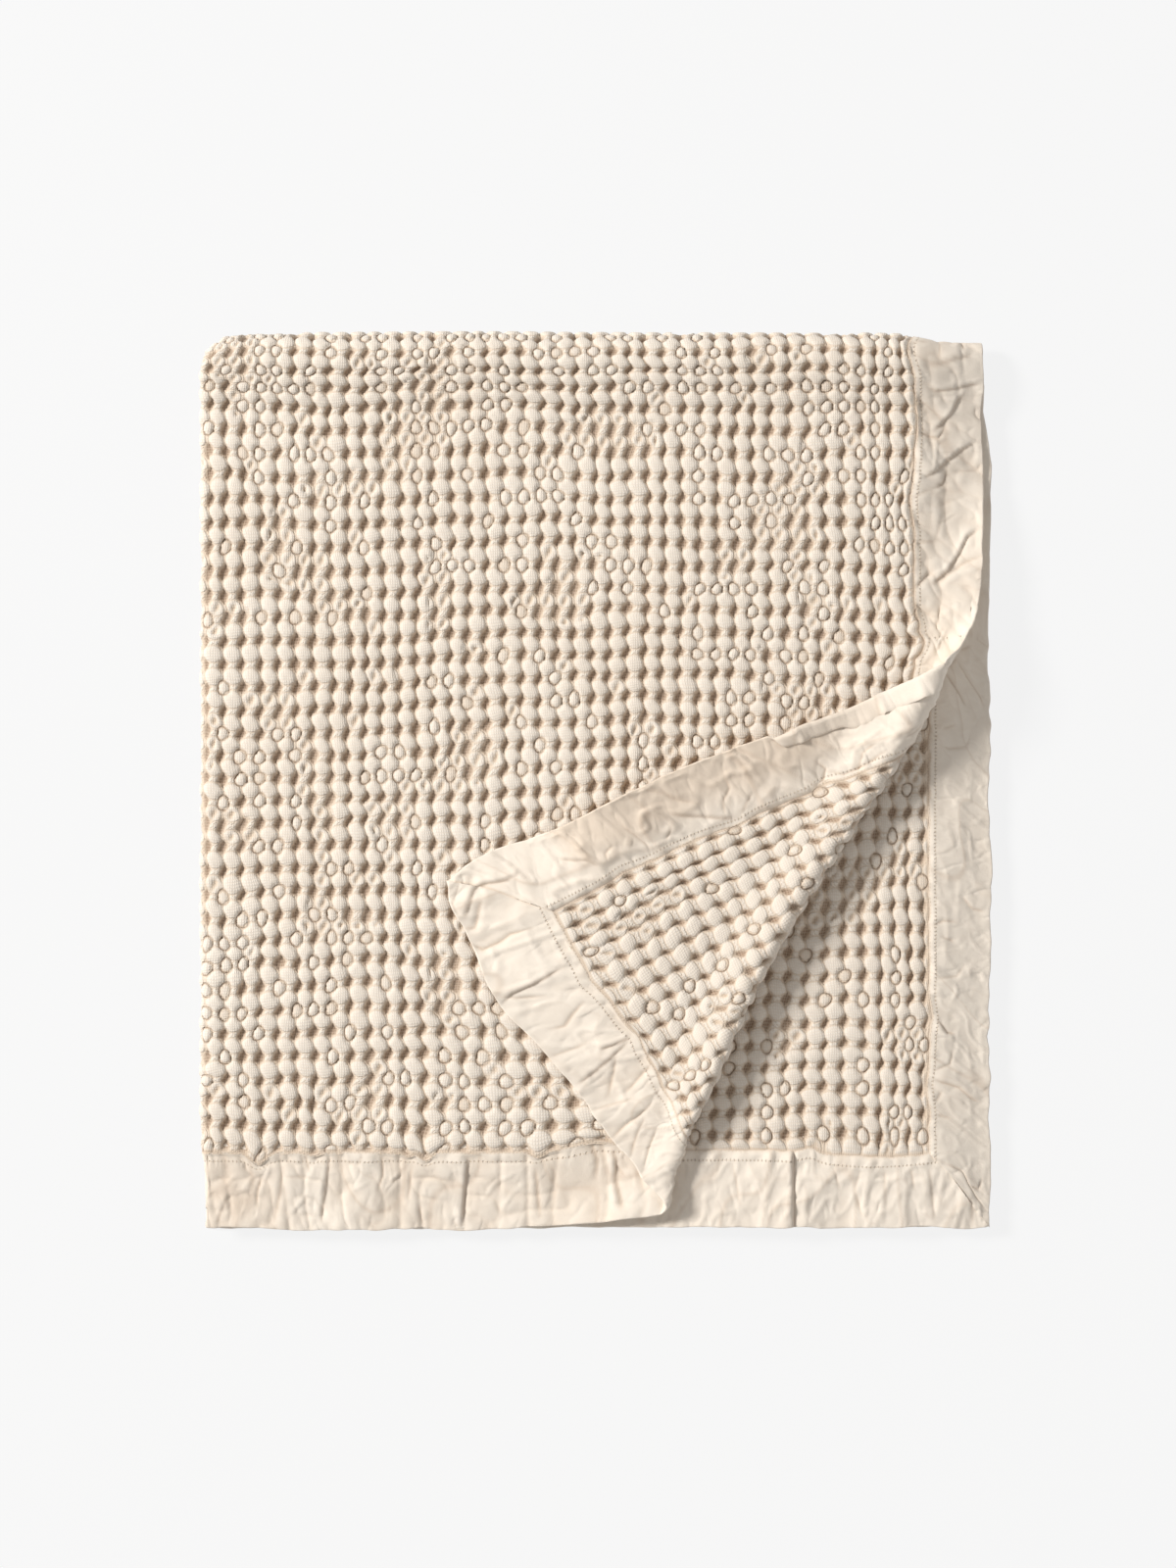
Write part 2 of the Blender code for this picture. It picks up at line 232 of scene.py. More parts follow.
class Fold:
    """One turn of the cloth back over itself: a round bulb, a slope down from it and an easing to level."""

    def __init__(self, radius: float, overshoot: float, easing: float, rise: float) -> None:
        """Works out the arc lengths at which each stretch of the fold ends.

        Args:
            radius: Radius of the bulb.
            overshoot: How far past half a turn the bulb goes, in radians.
            easing: Radius of the curve back to level.
            rise: Height gained from before the fold to after it.
        """
        self.radius = radius
        self.easing = easing
        self.turn = math.pi + overshoot
        drop = radius * (1.0 - math.cos(self.turn)) - easing * (1.0 - math.cos(overshoot)) - rise
        self.bulb_end = radius * self.turn
        self.slope_end = self.bulb_end + (drop / math.sin(overshoot) if overshoot else 0.0)
        self.level_start = self.slope_end + easing * overshoot

    def place(self, t: Array) -> tuple[Array, Array, Array, Array]:
        """Follows the fold.

        Args:
            t: Arc lengths from the start of the bulb.

        Returns:
            Distance out, height, and the outer normal's two parts.
        """
        t = np.asarray(t, dtype=float)
        bulb = np.clip(t, 0.0, self.bulb_end)
        slope = np.clip(t - self.bulb_end, 0.0, self.slope_end - self.bulb_end)
        ease = np.clip(t - self.slope_end, 0.0, self.level_start - self.slope_end)
        angle = bulb / self.radius
        eased = self.turn - ease / self.easing if self.easing else np.full_like(t, self.turn)
        out = np.minimum(t, 0.0) - np.maximum(t - self.level_start, 0.0)
        out += self.radius * np.sin(angle) + slope * math.cos(self.turn)
        out -= self.easing * (np.sin(eased) - math.sin(self.turn))
        height = self.radius * (1.0 - np.cos(angle)) + slope * math.sin(self.turn)
        height += self.easing * (np.cos(eased) - math.cos(self.turn))
        facing = np.where(t < self.slope_end, angle, eased)
        return out, height, np.sin(facing), -np.cos(facing)

    def reach(self) -> float:
        """Arc length from the bulb's start to the line that the fold mirrors flat cloth in."""
        out, _, _, _ = self.place(np.array(self.level_start))
        return 0.5 * (float(out) + self.level_start)


@dataclass
class FoldedCloth:
    """How the whole cloth lies: every flat place's place in the stack."""

    sheet: Sheet = field(default_factory=Sheet)
    layer_pitch: float = 0.011
    left_edge: float = -0.3198
    top_edge: float = 0.3636
    top_roll_radius: float = 0.016
    top_roll_overshoot: float = math.radians(15.0)
    top_roll_easing: float = 0.060
    turn_point: tuple[float, float] = (0.1003, -0.2200)
    turn_angle: float = math.radians(57.0)
    turn_radius: float = 0.0095
    turn_overshoot: float = math.radians(20.0)
    turn_easing: float = 0.040
    turn_pitch: float = 0.0085
    turn_lead_in: float = 0.060
    turn_settled: float = 0.8
    turn_field: tuple[float, float] = (0.05, 0.10)
    side_flare: Ramp = Ramp(0.7, 0.20, 0.22)
    end_flare: Ramp = Ramp(-0.32, 0.02, 0.12)
    tip_press: Ramp = Ramp(0.45, 0.03, 0.06)
    tip_border: Ramp = Ramp(1.0, 0.650, 0.025)
    layer_mix: tuple[float, float] = (0.10, 0.20)
    slack_in: Ramp = Ramp(1.0, 0.02, 0.10)
    slack_power: int = 3
    border_ease: float = 0.35
    border_sag: float = 0.45
    grounded_in: Ramp = Ramp(1.0, 0.06, 0.08)
    open_from: Ramp = Ramp(1.0, 0.03, 0.05)
    open_to: Ramp = Ramp(1.0, -0.27, 0.05)
    open_border: Ramp = Ramp(0.5, 0.60, 0.06)
    turned_border_sag: float = 0.0028
    ruffle_height: float = 0.0030
    ruffle_level: float = 0.5
    ruffle_share: float = 0.35
    ruffle_limit: float = 1.2
    unevenness: float = 0.0004
    level_below: float = 0.008
    normal_step: float = 0.0008

    def __post_init__(self) -> None:
        """Works out the folds and axes from the driving sizes, with each layer's slack."""
        self.left_radius = 0.5 * self.layer_pitch
        self.left_fold = Fold(self.left_radius, 0.0, 0.0, self.layer_pitch)
        self.top_fold = Fold(
            self.top_roll_radius, self.top_roll_overshoot, self.top_roll_easing, 2.0 * self.layer_pitch
        )
        self.turn_fold = Fold(self.turn_radius, self.turn_overshoot, self.turn_easing, self.turn_pitch)
        half = 0.5 * self.sheet.panel_thickness
        self.left_axis = self.left_edge + half + self.left_radius
        self.top_axis = self.top_edge - half - self.left_radius - self.top_roll_radius
        self.floor_layer = half + self.left_radius
        self.border_foot = 0.5 * self.sheet.border_thickness
        self.slacks = {
            "second": Slack(0.0125, 0.0065, -0.0005),
            "third": Slack(0.0060, 0.0040, -0.0020),
            "bottom": Slack(0.0020, 0.0020, -0.0020),
        }

    def layer_weights(self, u: Array, v: Array) -> dict[str, Array]:
        """How much of each layer each place belongs to, mixed where the cloth turns."""
        right = smooth_step(0.5 + u / self.layer_mix[0])
        upper = smooth_step(0.5 + v / self.layer_mix[1])
        return {
            "top": right * upper,
            "second": (1.0 - right) * upper,
            "third": (1.0 - right) * (1.0 - upper),
            "bottom": right * (1.0 - upper),
        }

    def border_depth(self, u: Array, v: Array) -> Array:
        """0 over the panel, rising across a border to 1 at its free edge."""
        side = (np.abs(u) - self.sheet.side_seam) / self.sheet.side_border
        end = (np.abs(v) - self.sheet.end_seam) / self.sheet.end_border
        share = np.maximum(side, end)
        return self.border_ease * smooth_step(share) + (1.0 - self.border_ease) * np.clip(share, 0.0, 1.0)

    def turn_scale(self, along: Array) -> Array:
        """How wide the turned corner's roll is, by the distance along its fold line."""
        return 1.0 + self.side_flare.at(along) + self.end_flare.at(-along)

    def ruffle(self, u: Array, v: Array) -> Array:
        """Small upward waves of the end borders' free edge, in the upper two layers."""
        waves = sum(
            share * np.sin(2.0 * math.pi * u / length + start) for length, start, share in RUFFLE_WAVES
        )
        end = smooth_step((v - self.sheet.end_seam) / self.sheet.end_border)
        swell = np.clip(self.ruffle_level + self.ruffle_share * waves, 0.0, self.ruffle_limit)
        return self.ruffle_height * end * swell

    def lie(self, x: Array, y: Array) -> Array:
        """The stack's slight rise and fall, for each level_below of height above its lowest layer."""
        slow, quick = (
            sum(share * np.sin(across * x + along * y + start) for across, along, start, share in waves)
            for waves in (SLOW_WAVES, QUICK_WAVES)
        )
        return self.unevenness * (slow + quick)

    @staticmethod
    def pulled(x: Array, y: Array, pulls: Sequence[Pull], weight: Array | float) -> tuple[Array, Array]:
        """Moves places sideways near each pull, most at its middle."""
        for pull in pulls:
            apart = (x - pull.x) ** 2 + (y - pull.y) ** 2
            near = weight * np.exp(-apart / (2.0 * (PULL_SPREAD * pull.reach) ** 2))
            x, y = x + pull.move_x * near, y + pull.move_y * near
        return x, y

    def points(self, u: Array, v: Array) -> Array:
        """Places the middle of the cloth's thickness, with x, y and z on the last axis."""
        return self.laid(u, v)[0]

    def past_turn(self, u: Array, v: Array) -> Array:
        """How far past the start of the turned corner's roll each flat place lies."""
        return self.laid(u, v)[1]

    def stacked(self, u: Array, v: Array, weights: dict[str, Array]) -> tuple[Array, Array, Array]:
        """Folds the cloth in quarters, and lets each layer stray from the one above.

        Args:
            u: Flat places across the cloth.
            v: Flat places along the cloth.
            weights: How much of each layer each place belongs to.

        Returns:
            x, y and z of the middle of the cloth's thickness.
        """
        sheet = self.sheet
        out, height, _, _ = self.left_fold.place(u + 0.5 * math.pi * self.left_radius)
        x = self.left_axis - out
        offset = height - self.left_radius
        out, height, normal_out, normal_up = self.top_fold.place(v + 0.5 * math.pi * self.top_roll_radius)
        y = self.top_axis + out + offset * normal_out
        z = self.floor_layer + height + offset * normal_up

        below_roll = self.slack_in.at(np.abs(v))
        side_depth = smooth_step((np.abs(u) - sheet.side_seam) / sheet.side_border)
        for name, slack in self.slacks.items():
            inner = slack.at_seam * (np.abs(u) / sheet.side_seam) ** self.slack_power * (1.0 - side_depth)
            x = x + weights[name] * (inner + slack.at_edge * side_depth) * below_roll
            y = y - weights[name] * slack.along * (np.abs(v) / sheet.half_length) ** self.slack_power
        return x, y, z

    def sunk(self, x: Array, z: Array, v: Array, weights: dict[str, Array], depth: Array) -> Array:
        """Heights after the borders have sunk by their depth, less where the second layer's end is open."""
        grounded = weights["bottom"] * self.grounded_in.at(np.abs(v))
        open_end = weights["second"] * self.open_from.at(x) * self.open_to.at(-x)
        sag = self.border_sag * (1.0 - open_end * self.open_border.at(v))
        sag = (sag + (1.0 - sag) * grounded) * depth
        return self.border_foot + (z - self.border_foot) * (1.0 - sag)

    def laid(self, u: Array, v: Array) -> tuple[Array, Array]:
        """Lays the cloth in its folds.

        Args:
            u: Flat places across the cloth.
            v: Flat places along the cloth.

        Returns:
            Places of the middle of the cloth's thickness, and how far each lies past the start of the
            turned corner's roll.
        """
        for sway in SWAYS:
            near = bell(u - sway.u, sway.reach_u) * bell(v - sway.v, sway.reach_v)
            u, v = u + sway.move_u * near, v + sway.move_v * near
        weights = self.layer_weights(u, v)
        x, y, z = self.stacked(u, v, weights)

        line = (math.cos(self.turn_angle), math.sin(self.turn_angle))
        away = (line[1], -line[0])
        from_x, from_y = x - self.turn_point[0], y - self.turn_point[1]
        along_turn = from_x * line[0] + from_y * line[1]
        scale = self.turn_scale(along_turn)
        beyond = (from_x * away[0] + from_y * away[1]) / scale + self.turn_fold.reach()
        from_start = np.where((u > self.turn_field[0]) & (v > self.turn_field[1]), beyond, -1.0)
        turned = smooth_step(from_start / (self.turn_settled * self.turn_fold.level_start))
        near_turn = smooth_step(1.0 + from_start * scale / self.turn_lead_in)

        depth = self.border_depth(u, v)
        z = self.sunk(x, z, v, weights, depth * (1.0 - near_turn))
        z = z + self.ruffle(u, v) * (1.0 - near_turn)

        out, height, _, _ = self.turn_fold.place(np.maximum(from_start, 0.0))
        moved = scale * (out - np.maximum(from_start, 0.0))
        x = x + moved * away[0]
        y = y + moved * away[1]
        press = self.tip_press
        at_tip = self.tip_border.at(v) * smooth_step((-along_turn - press.start) / press.run)
        z = z + scale * height * (1.0 - press.size * at_tip)
        z = z - np.minimum(scale, 1.0) * self.turned_border_sag * depth * turned * (1.0 - at_tip)

        x, y = self.pulled(x, y, TOP_PULLS, weights["top"])
        x, y = self.pulled(x, y, FLAP_PULLS, turned)
        x, y = self.pulled(x, y, STACK_PULLS, 1.0)
        z = z + self.lie(x, y) * np.maximum(z - self.level_below, 0.0) / self.level_below
        return np.stack((x, y, z), axis=-1), from_start

    def normals(self, u: Array, v: Array) -> Array:
        """Unit normals of side A, from the lie of the cloth close around each place."""
        step = self.normal_step
        across = self.points(u + step, v) - self.points(u - step, v)
        along = self.points(u, v + step) - self.points(u, v - step)
        normal = np.cross(along, across)
        return normal / np.maximum(np.linalg.norm(normal, axis=-1, keepdims=True), TINY)


@dataclass
class ClothSide:
    """One face of a piece of cloth on a net of lines that both faces share.

    points holds every crossing of the net, by v and then u. rows and columns are the numbers of the
    net's lines that this face keeps. values are its attributes, one array of the same shape each, and
    places are its UV maps, with u and v on the last axis.
    """

    points: Array
    rows: Array
    columns: Array
    values: dict[str, Array]
    places: dict[str, Array]

    def kept(self, whole: Array) -> Array:
        """The part of an array over the net that this face keeps, one row for each of its points."""
        part = whole[np.ix_(self.rows, self.columns)]
        return part.reshape(len(self.rows) * len(self.columns), -1)

    def rim(self) -> tuple[Array, Array]:
        """Vertex numbers round the face's rim, and how far round the net each lies."""
        high, wide = len(self.rows), len(self.columns)
        index = np.arange(high * wide).reshape(high, wide)
        loop = np.concatenate((index[0, :], index[1:, -1], index[-1, -2::-1], index[-2:0:-1, 0]))
        across, along = self.columns[-1], self.rows[-1]
        place = np.concatenate(
            (
                self.columns,
                across + self.rows[1:],
                across + along + across - self.columns[-2::-1],
                2 * across + along + along - self.rows[-2:0:-1],
            )
        )
        return loop, place


def closed_sheet(name: str, upper: ClothSide, lower: ClothSide) -> bpy.types.Object:
    """Makes one closed mesh from the two faces of a piece of cloth.

    Args:
        name: The object's name.
        upper: Side A.
        lower: Side B. One side keeps every line that the other keeps.

    Returns:
        The object, with its faces pointing outwards and its rim's edges sharp.
    """
    polygons: list[Array] = []
    first = 0
    for side in (upper, lower):
        high, wide = len(side.rows), len(side.columns)
        index = first + np.arange(high * wide).reshape(high, wide)
        corner = [index[:-1, :-1], index[1:, :-1], index[1:, 1:], index[:-1, 1:]]
        faces = np.stack([c.ravel() for c in corner], axis=-1)
        polygons.append(faces if side is upper else faces[:, ::-1])
        first += high * wide
    count = len(upper.rows) * len(upper.columns)
    (on_a, place_a), (on_b, place_b) = upper.rim(), lower.rim()
    on_b = on_b + count
    fine_is_a = len(on_a) >= len(on_b)
    fine, place, coarse, stops = (
        (on_a, place_a, on_b, place_b) if fine_is_a else (on_b, place_b, on_a, place_a)
    )
    at = np.append(np.searchsorted(place, stops), len(fine))
    wall = []
    for k, start in enumerate(at[:-1]):
        run = fine[np.arange(start, at[k + 1] + 1) % len(fine)]
        pair = coarse[[k, (k + 1) % len(coarse)]]
        ring = np.concatenate((run, pair[::-1])) if fine_is_a else np.concatenate((pair, run[::-1]))
        wall.append(ring)

    sizes = np.concatenate([np.full(len(p), 4) for p in polygons] + [[len(r) for r in wall]])
    corners = np.concatenate([p.ravel() for p in polygons] + wall)
    mesh = bpy.data.meshes.new(name)
    points = np.concatenate((upper.kept(upper.points), lower.kept(lower.points)))
    mesh.vertices.add(len(points))
    mesh.vertices.foreach_set("co", points.ravel().astype(np.float32))
    mesh.loops.add(len(corners))
    mesh.loops.foreach_set("vertex_index", corners.astype(np.int32))
    mesh.polygons.add(len(sizes))
    starts = np.concatenate(([0], np.cumsum(sizes)[:-1]))
    mesh.polygons.foreach_set("loop_start", starts.astype(np.int32))
    mesh.update(calc_edges=True)
    mesh.polygons.foreach_set("use_smooth", np.ones(len(sizes), dtype=bool))

    ends = np.empty(2 * len(mesh.edges), dtype=np.int32)
    mesh.edges.foreach_get("vertices", ends)
    ends = ends.reshape(-1, 2)
    sharp = np.zeros(len(ends), dtype=bool)
    for loop in (on_a, on_b):
        order = np.full(len(points), -9)
        order[loop] = np.arange(len(loop))
        step = np.abs(order[ends[:, 0]] - order[ends[:, 1]])
        both = (order[ends] >= 0).all(axis=-1)
        sharp |= both & ((step == 1) | (step == len(loop) - 1))
    mesh.edges.foreach_set("use_edge_sharp", sharp)

    for label in upper.values:
        values = np.concatenate((upper.kept(upper.values[label]), lower.kept(lower.values[label])))
        mesh.attributes.new(label, "FLOAT", "POINT").data.foreach_set("value", values.ravel())
    for label in upper.places:
        values = np.concatenate((upper.kept(upper.places[label]), lower.kept(lower.places[label])))
        mesh.uv_layers.new(name=label).data.foreach_set("uv", values[corners].ravel())
    mesh.validate()
    piece = bpy.data.objects.new(name, mesh)
    bpy.context.scene.collection.objects.link(piece)
    return piece


@dataclass(frozen=True)
class CellShape:
    """The parts of a cell, in drawing units: a cell is 18 of them across and 23.7 along.

    The draws of a cell's own variation run from -1 to 1 or from 0 to 1, and wear from 0 to 1.
    """

    across: float = 18.0
    along: float = 23.7
    pad_across: float = 8.8
    pad_along: float = 8.6
    pad_power: float = 2.2
    pad_root: float = 0.4545
    pad_dome: float = 2.7
    pad_vary: float = 0.07
    pad_shrink: float = 0.12
    closed_gain: float = 0.20
    neck: float = 3.8
    neck_vary: float = 1.0
    neck_height: float = 0.50
    neck_skirt: float = 0.6
    neck_lean: float = 0.26
    lean_vary: float = 0.12
    lean_reach: float = 8.0
    popped_lean: float = 0.2
    joint: float = 2.2
    joint_round: float = 3.2
    joint_height: float = 0.12
    wall_run: float = 2.4
    sunk_least: float = 0.05
    sunk_worn: float = 0.90
    lens_across: float = 2.4
    lens_along: float = 4.8
    lens_lean: float = 0.45
    popped_share: float = 0.26
    popped_patch: float = 0.30
    popped_rise: float = 2.4
    button_across: float = 5.7
    button_along: float = 7.4
    button_wobble: float = 0.06
    button_dome: float = 0.97
    button_wall: float = -0.25
    button_reach: float = 1.5
    trench_at: float = 1.04
    trench_width: float = 0.14
    trench_depth: float = 0.45
    slant: float = 0.20
    slant_vary: float = 0.14
    slant_reach: float = 11.0
    slant_fade: float = 4.5
    slant_beside: float = 0.85
    upright_popped: float = 0.1


@dataclass
class Weave:
    """The waffle's cells: pads on a grid, necks between them, and deep slanted cells in the middle."""

    cloth: FoldedCloth
    cell_across: float = 0.0142
    cell_along: float = 0.0187
    pad_height: float = 0.0027
    cell_depth: float = 0.0032
    wall: float = 0.0004
    seed: int = 11
    draws: int = 160
    shape: CellShape = CellShape()
    table_end: float = 0.70
    table_size: int = 1401
    tight_from_seam: float = 0.045
    tight: float = 0.22
    row_ends: tuple[float, ...] = (0.0, 0.0145, 0.0255, 0.0385, 0.0540)
    far_along: float = 1.0
    true_margin: float = 0.010
    seam_relief: float = 0.10
    seam_flat: float = 0.0015
    seam_rise: float = 0.006
    shadow_at: float = 0.0027
    shadow_width: float = 0.0010
    shadow_depth: float = 0.9
    turn_blend: float = 0.010

    def __post_init__(self) -> None:
        """Draws each cell's own variation once, and tables the cell counts."""
        rng = np.random.default_rng(self.seed)
        size = (2, self.draws, self.draws)
        self.size_draw = rng.uniform(-1.0, 1.0, size)
        self.popped_draw = rng.uniform(0.0, 1.0, size)
        self.sunk_draw = rng.uniform(0.0, 1.0, size)
        seam = self.cloth.sheet.side_seam
        self.u_table = np.linspace(0.0, self.table_end, self.table_size)
        tight = self.tight * np.maximum(self.u_table - (seam - self.tight_from_seam), 0.0)
        self.a_table = (self.u_table + tight) / self.cell_across
        self.v_table = np.array([*self.row_ends, self.far_along])
        counts = [float(k) for k in range(len(self.row_ends))]
        last = counts[-1] + (self.far_along - self.row_ends[-1]) / self.cell_along
        self.b_table = np.array([*counts, last])

    def cells_across(self, u: float) -> float:
        """Cell count from the left fold to a u, with narrower cells beside the side seams."""
        return float(np.sign(u) * np.interp(abs(u), self.u_table, self.a_table))

    def cells_along(self, v: float) -> float:
        """Cell count from the top roll to a v, with shorter cells over the roll."""
        return float(np.sign(v) * np.interp(abs(v), self.v_table, self.b_table))

    def plain(self, a: Array, b: Array) -> tuple[Array, Array]:
        """Flat places of cell counts, before the cloth is drawn out of true."""
        u = np.sign(a) * np.interp(np.abs(a), self.a_table, self.u_table)
        v = np.sign(b) * np.interp(np.abs(b), self.b_table, self.v_table)
        return u, v

    def phase(self, a: Array, b: Array, face: Face) -> tuple[Array, Array]:
        """A side's own cell counts, with a pad at each whole number: side B's are half a cell on."""
        half = 0.0 if face is Face.A else 0.5
        return a + half, b + half

    def drawn(self, draw: Array, side: int, i: Array, j: Array) -> Array:
        """Each cell's own draw, on a table that repeats far past the blanket's own cells."""
        return draw[side, i % self.draws, j % self.draws]

    def popped(self, i: Array, j: Array, side: int) -> Array:
        """How far each cell's back has popped out through it, from 0 to 1."""
        shape = self.shape
        patch = lattice_noise(i / 4.0 + 40.0, j / 4.0 + 40.0, self.seed + 3 + side)
        draw = self.drawn(self.popped_draw, side, i, j)
        likely = shape.popped_share + shape.popped_patch * patch
        return np.where(draw < likely, 0.30 + shape.popped_rise * draw, 0.0).clip(0.0, 1.0)

    def flat(self, a: Array, b: Array, face: Face) -> tuple[Array, Array]:
        """Flat places of a side's cells, drawn out of true and slanted as worn cloth is.

        Args:
            a: Cell counts across.
            b: Cell counts along.
            face: Which side, because each leans its cells its own way.

        Returns:
            Flat places across and along.
        """
        shape = self.shape
        across, along = self.phase(a, b, face)
        i, j = np.floor(across).astype(int), np.floor(along).astype(int)
        dx, dy = across - i - 0.5, (along - j - 0.5) * shape.along
        side = 0 if face is Face.A else 1
        beside = 0.5 * smooth_step(2.0 * np.abs(dx))
        own, other = (
            np.where(self.popped(k, j, side) > 0.0, shape.upright_popped, 1.0)
            for k in (i, i + np.sign(dx).astype(int))
        )
        upright = own * (1.0 - beside) + other * beside
        window = smooth_step((shape.slant_reach - np.abs(dy)) / shape.slant_fade)
        window = window * (1.0 - shape.slant_beside * smooth_step(2.0 * np.abs(dx)) ** 2)
        lean = lattice_noise(a / 2.5 + 11.0, b / 2.0 + 13.0, self.seed + 20)
        slant = shape.slant + shape.slant_vary * lean
        shift = -face.value * upright * slant * dy * window / shape.across
        drift_a = 0.17 * lattice_noise(a / 7.5 + 9.0, b / 5.0 + 5.0, self.seed + 21)
        drift_a += 0.13 * lattice_noise(a / 1.7 + 3.0, b / 1.5 + 1.0, self.seed + 22)
        drift_b = 0.15 * lattice_noise(a / 8.5 + 7.0, b / 6.0 + 2.0, self.seed + 23)
        drift_b += 0.12 * lattice_noise(a / 1.8 + 6.0, b / 1.5 + 8.0, self.seed + 24)

        sheet = self.cloth.sheet
        u, v = self.plain(a, b)
        near_seam = np.minimum(sheet.side_seam - np.abs(u), sheet.end_seam - np.abs(v))
        keep = smooth_step(near_seam / self.true_margin)
        u, v = self.plain(a + keep * (drift_a + shift), b + keep * drift_b)
        u = np.clip(u, -sheet.side_seam, sheet.side_seam)
        return u, np.clip(v, -sheet.end_seam, sheet.end_seam)

    def relief(self, a: Array, b: Array, face: Face, openness: float) -> dict[str, Array]:
        """Shapes the cells of one side.

        Args:
            a: Cell counts across.
            b: Cell counts along.
            face: Which side of the cloth.
            openness: How wide the cells stand open, 1 for the usual width.

        Returns:
            The height, from -1 in a cell to 1 on a pad, the distance from each pad's middle, with 1 at
            its rim, and the same from the middle of each popped button.
        """
        shape = self.shape
        side = 0 if face is Face.A else 1
        across, along = self.phase(a, b, face)
        i, j = np.floor(across).astype(int), np.floor(along).astype(int)
        dx, dy = (across - i - 0.5) * shape.across, (along - j - 0.5) * shape.along
        worn = lattice_noise(across / 2.3 + 50.0, along / 1.9 + 50.0, self.seed + 9 + side)
        worn = smooth_step((worn - 0.30) / 0.35)
        popped = self.popped(i, j, side)

        near_i, near_j = np.rint(across).astype(int), np.rint(along).astype(int)
        qx, qy = (across - near_i) * shape.across, (along - near_j) * shape.along
        fat = 1.0 + shape.closed_gain * (1.0 - openness)
        size = self.drawn(self.size_draw, side, near_i, near_j)
        spread = fat * (1.0 + shape.pad_vary * size - shape.pad_shrink * worn)
        pad_round = (
            (np.abs(qx) / (shape.pad_across * spread)) ** shape.pad_power
            + (np.abs(qy) / (shape.pad_along * spread)) ** shape.pad_power
        ) ** shape.pad_root
        neck_size = shape.neck + shape.neck_vary * self.drawn(self.size_draw, side, near_i, j)
        neck_width = neck_size * fat / np.sqrt(openness)
        lean = shape.neck_lean + shape.lean_vary * self.drawn(self.size_draw, side, i, near_j)
        lean = face.value * lean * np.clip(dy, -shape.lean_reach, shape.lean_reach)
        neck_x = qx + np.where(popped > 0.0, shape.popped_lean, 1.0) * lean
        inside = np.maximum(shape.pad_along * (1.0 - pad_round), neck_width - np.abs(neck_x))
        inside = np.maximum(inside, shape.joint - np.abs(qy))
        cell = smooth_step(-inside / shape.wall_run)

        pad = np.sqrt(np.clip(1.0 - pad_round**shape.pad_dome, 0.0, 1.0))
        neck = np.sqrt(np.clip(1.0 - (neck_x / (neck_width + shape.neck_skirt)) ** 2, 0.0, 1.0))
        neck = shape.neck_height * neck
        joint = shape.joint_height * np.sqrt(np.clip(1.0 - (qy / shape.joint_round) ** 2, 0.0, 1.0))
        lumps = lattice_noise(across * 4.2, along * 4.6, self.seed + 31 + side)
        sunk_draw = self.drawn(self.sunk_draw, side, near_i, near_j)
        sunk = sunk_draw < shape.sunk_least + shape.sunk_worn * worn
        lens = bell(qx + face.value * shape.lens_lean * qy, shape.lens_across) * bell(qy, shape.lens_along)
        pad = np.where(sunk, 0.50 * pad - 0.95 * lens + 0.30 * lumps, pad + 0.05 * lumps)
        top = np.where(sunk, np.maximum(pad, 0.9 * neck * (1.0 - lens) - 0.5 * lens), np.maximum(pad, neck))
        height = np.maximum(top, joint - 0.6 * sunk * lens) * (1.0 - cell) - (1.0 - 0.22 * worn) * cell

        phase = 6.0 * self.drawn(self.sunk_draw, side, i, j)
        from_x, from_y = dx / shape.button_across, dy / shape.button_along
        angle = np.arctan2(from_y, from_x)
        wobble = 1.0 + shape.button_wobble * np.sin(2.0 * angle + phase)
        wobble = wobble + shape.button_wobble * np.sin(3.0 * angle + 2.3 * phase)
        button_round = np.sqrt(from_x**2 + from_y**2) / wobble
        dome = np.clip(1.0 - (button_round / shape.button_dome) ** 3.0, 0.0, 1.0) ** 0.5
        trench = bell(button_round - shape.trench_at, shape.trench_width)
        rise = 0.95 * popped - 0.10
        filled = height + (0.30 - height) * smooth_step((1.45 - button_round) / 0.25)
        domed = shape.button_wall + (rise - shape.button_wall) * dome
        button = np.where(button_round < 1.0, domed, filled) - shape.trench_depth * trench
        height = np.where((popped > 0.0) & (button_round < shape.button_reach), button, height)
        return {
            "relief": np.clip(height, -1.0, 1.06),
            "pad": np.minimum(pad_round, 2.0),
            "button": np.where(popped > 0.0, np.minimum(button_round, 2.0), 2.0),
        }

    def press(self, u: Array, v: Array) -> tuple[Array, Array]:
        """The share of its relief that the weave keeps near a seam, and how deep it lies in shadow."""
        sheet = self.cloth.sheet
        to_seam = np.minimum(sheet.side_seam - np.abs(u), sheet.end_seam - np.abs(v))
        rise = smooth_step((to_seam - self.seam_flat) / self.seam_rise)
        keep = self.seam_relief + (1.0 - self.seam_relief) * rise
        return keep, bell(to_seam - self.shadow_at, self.shadow_width)

    def shown(self, a: Array, b: Array, face: Face) -> Array:
        """How far a side shows near the turned corner: side A up to its roll and side B from there."""
        past = self.cloth.past_turn(*self.plain(a, b))
        turned = smooth_step(0.5 + past / self.turn_blend)
        return turned if face is Face.B else 1.0 - turned

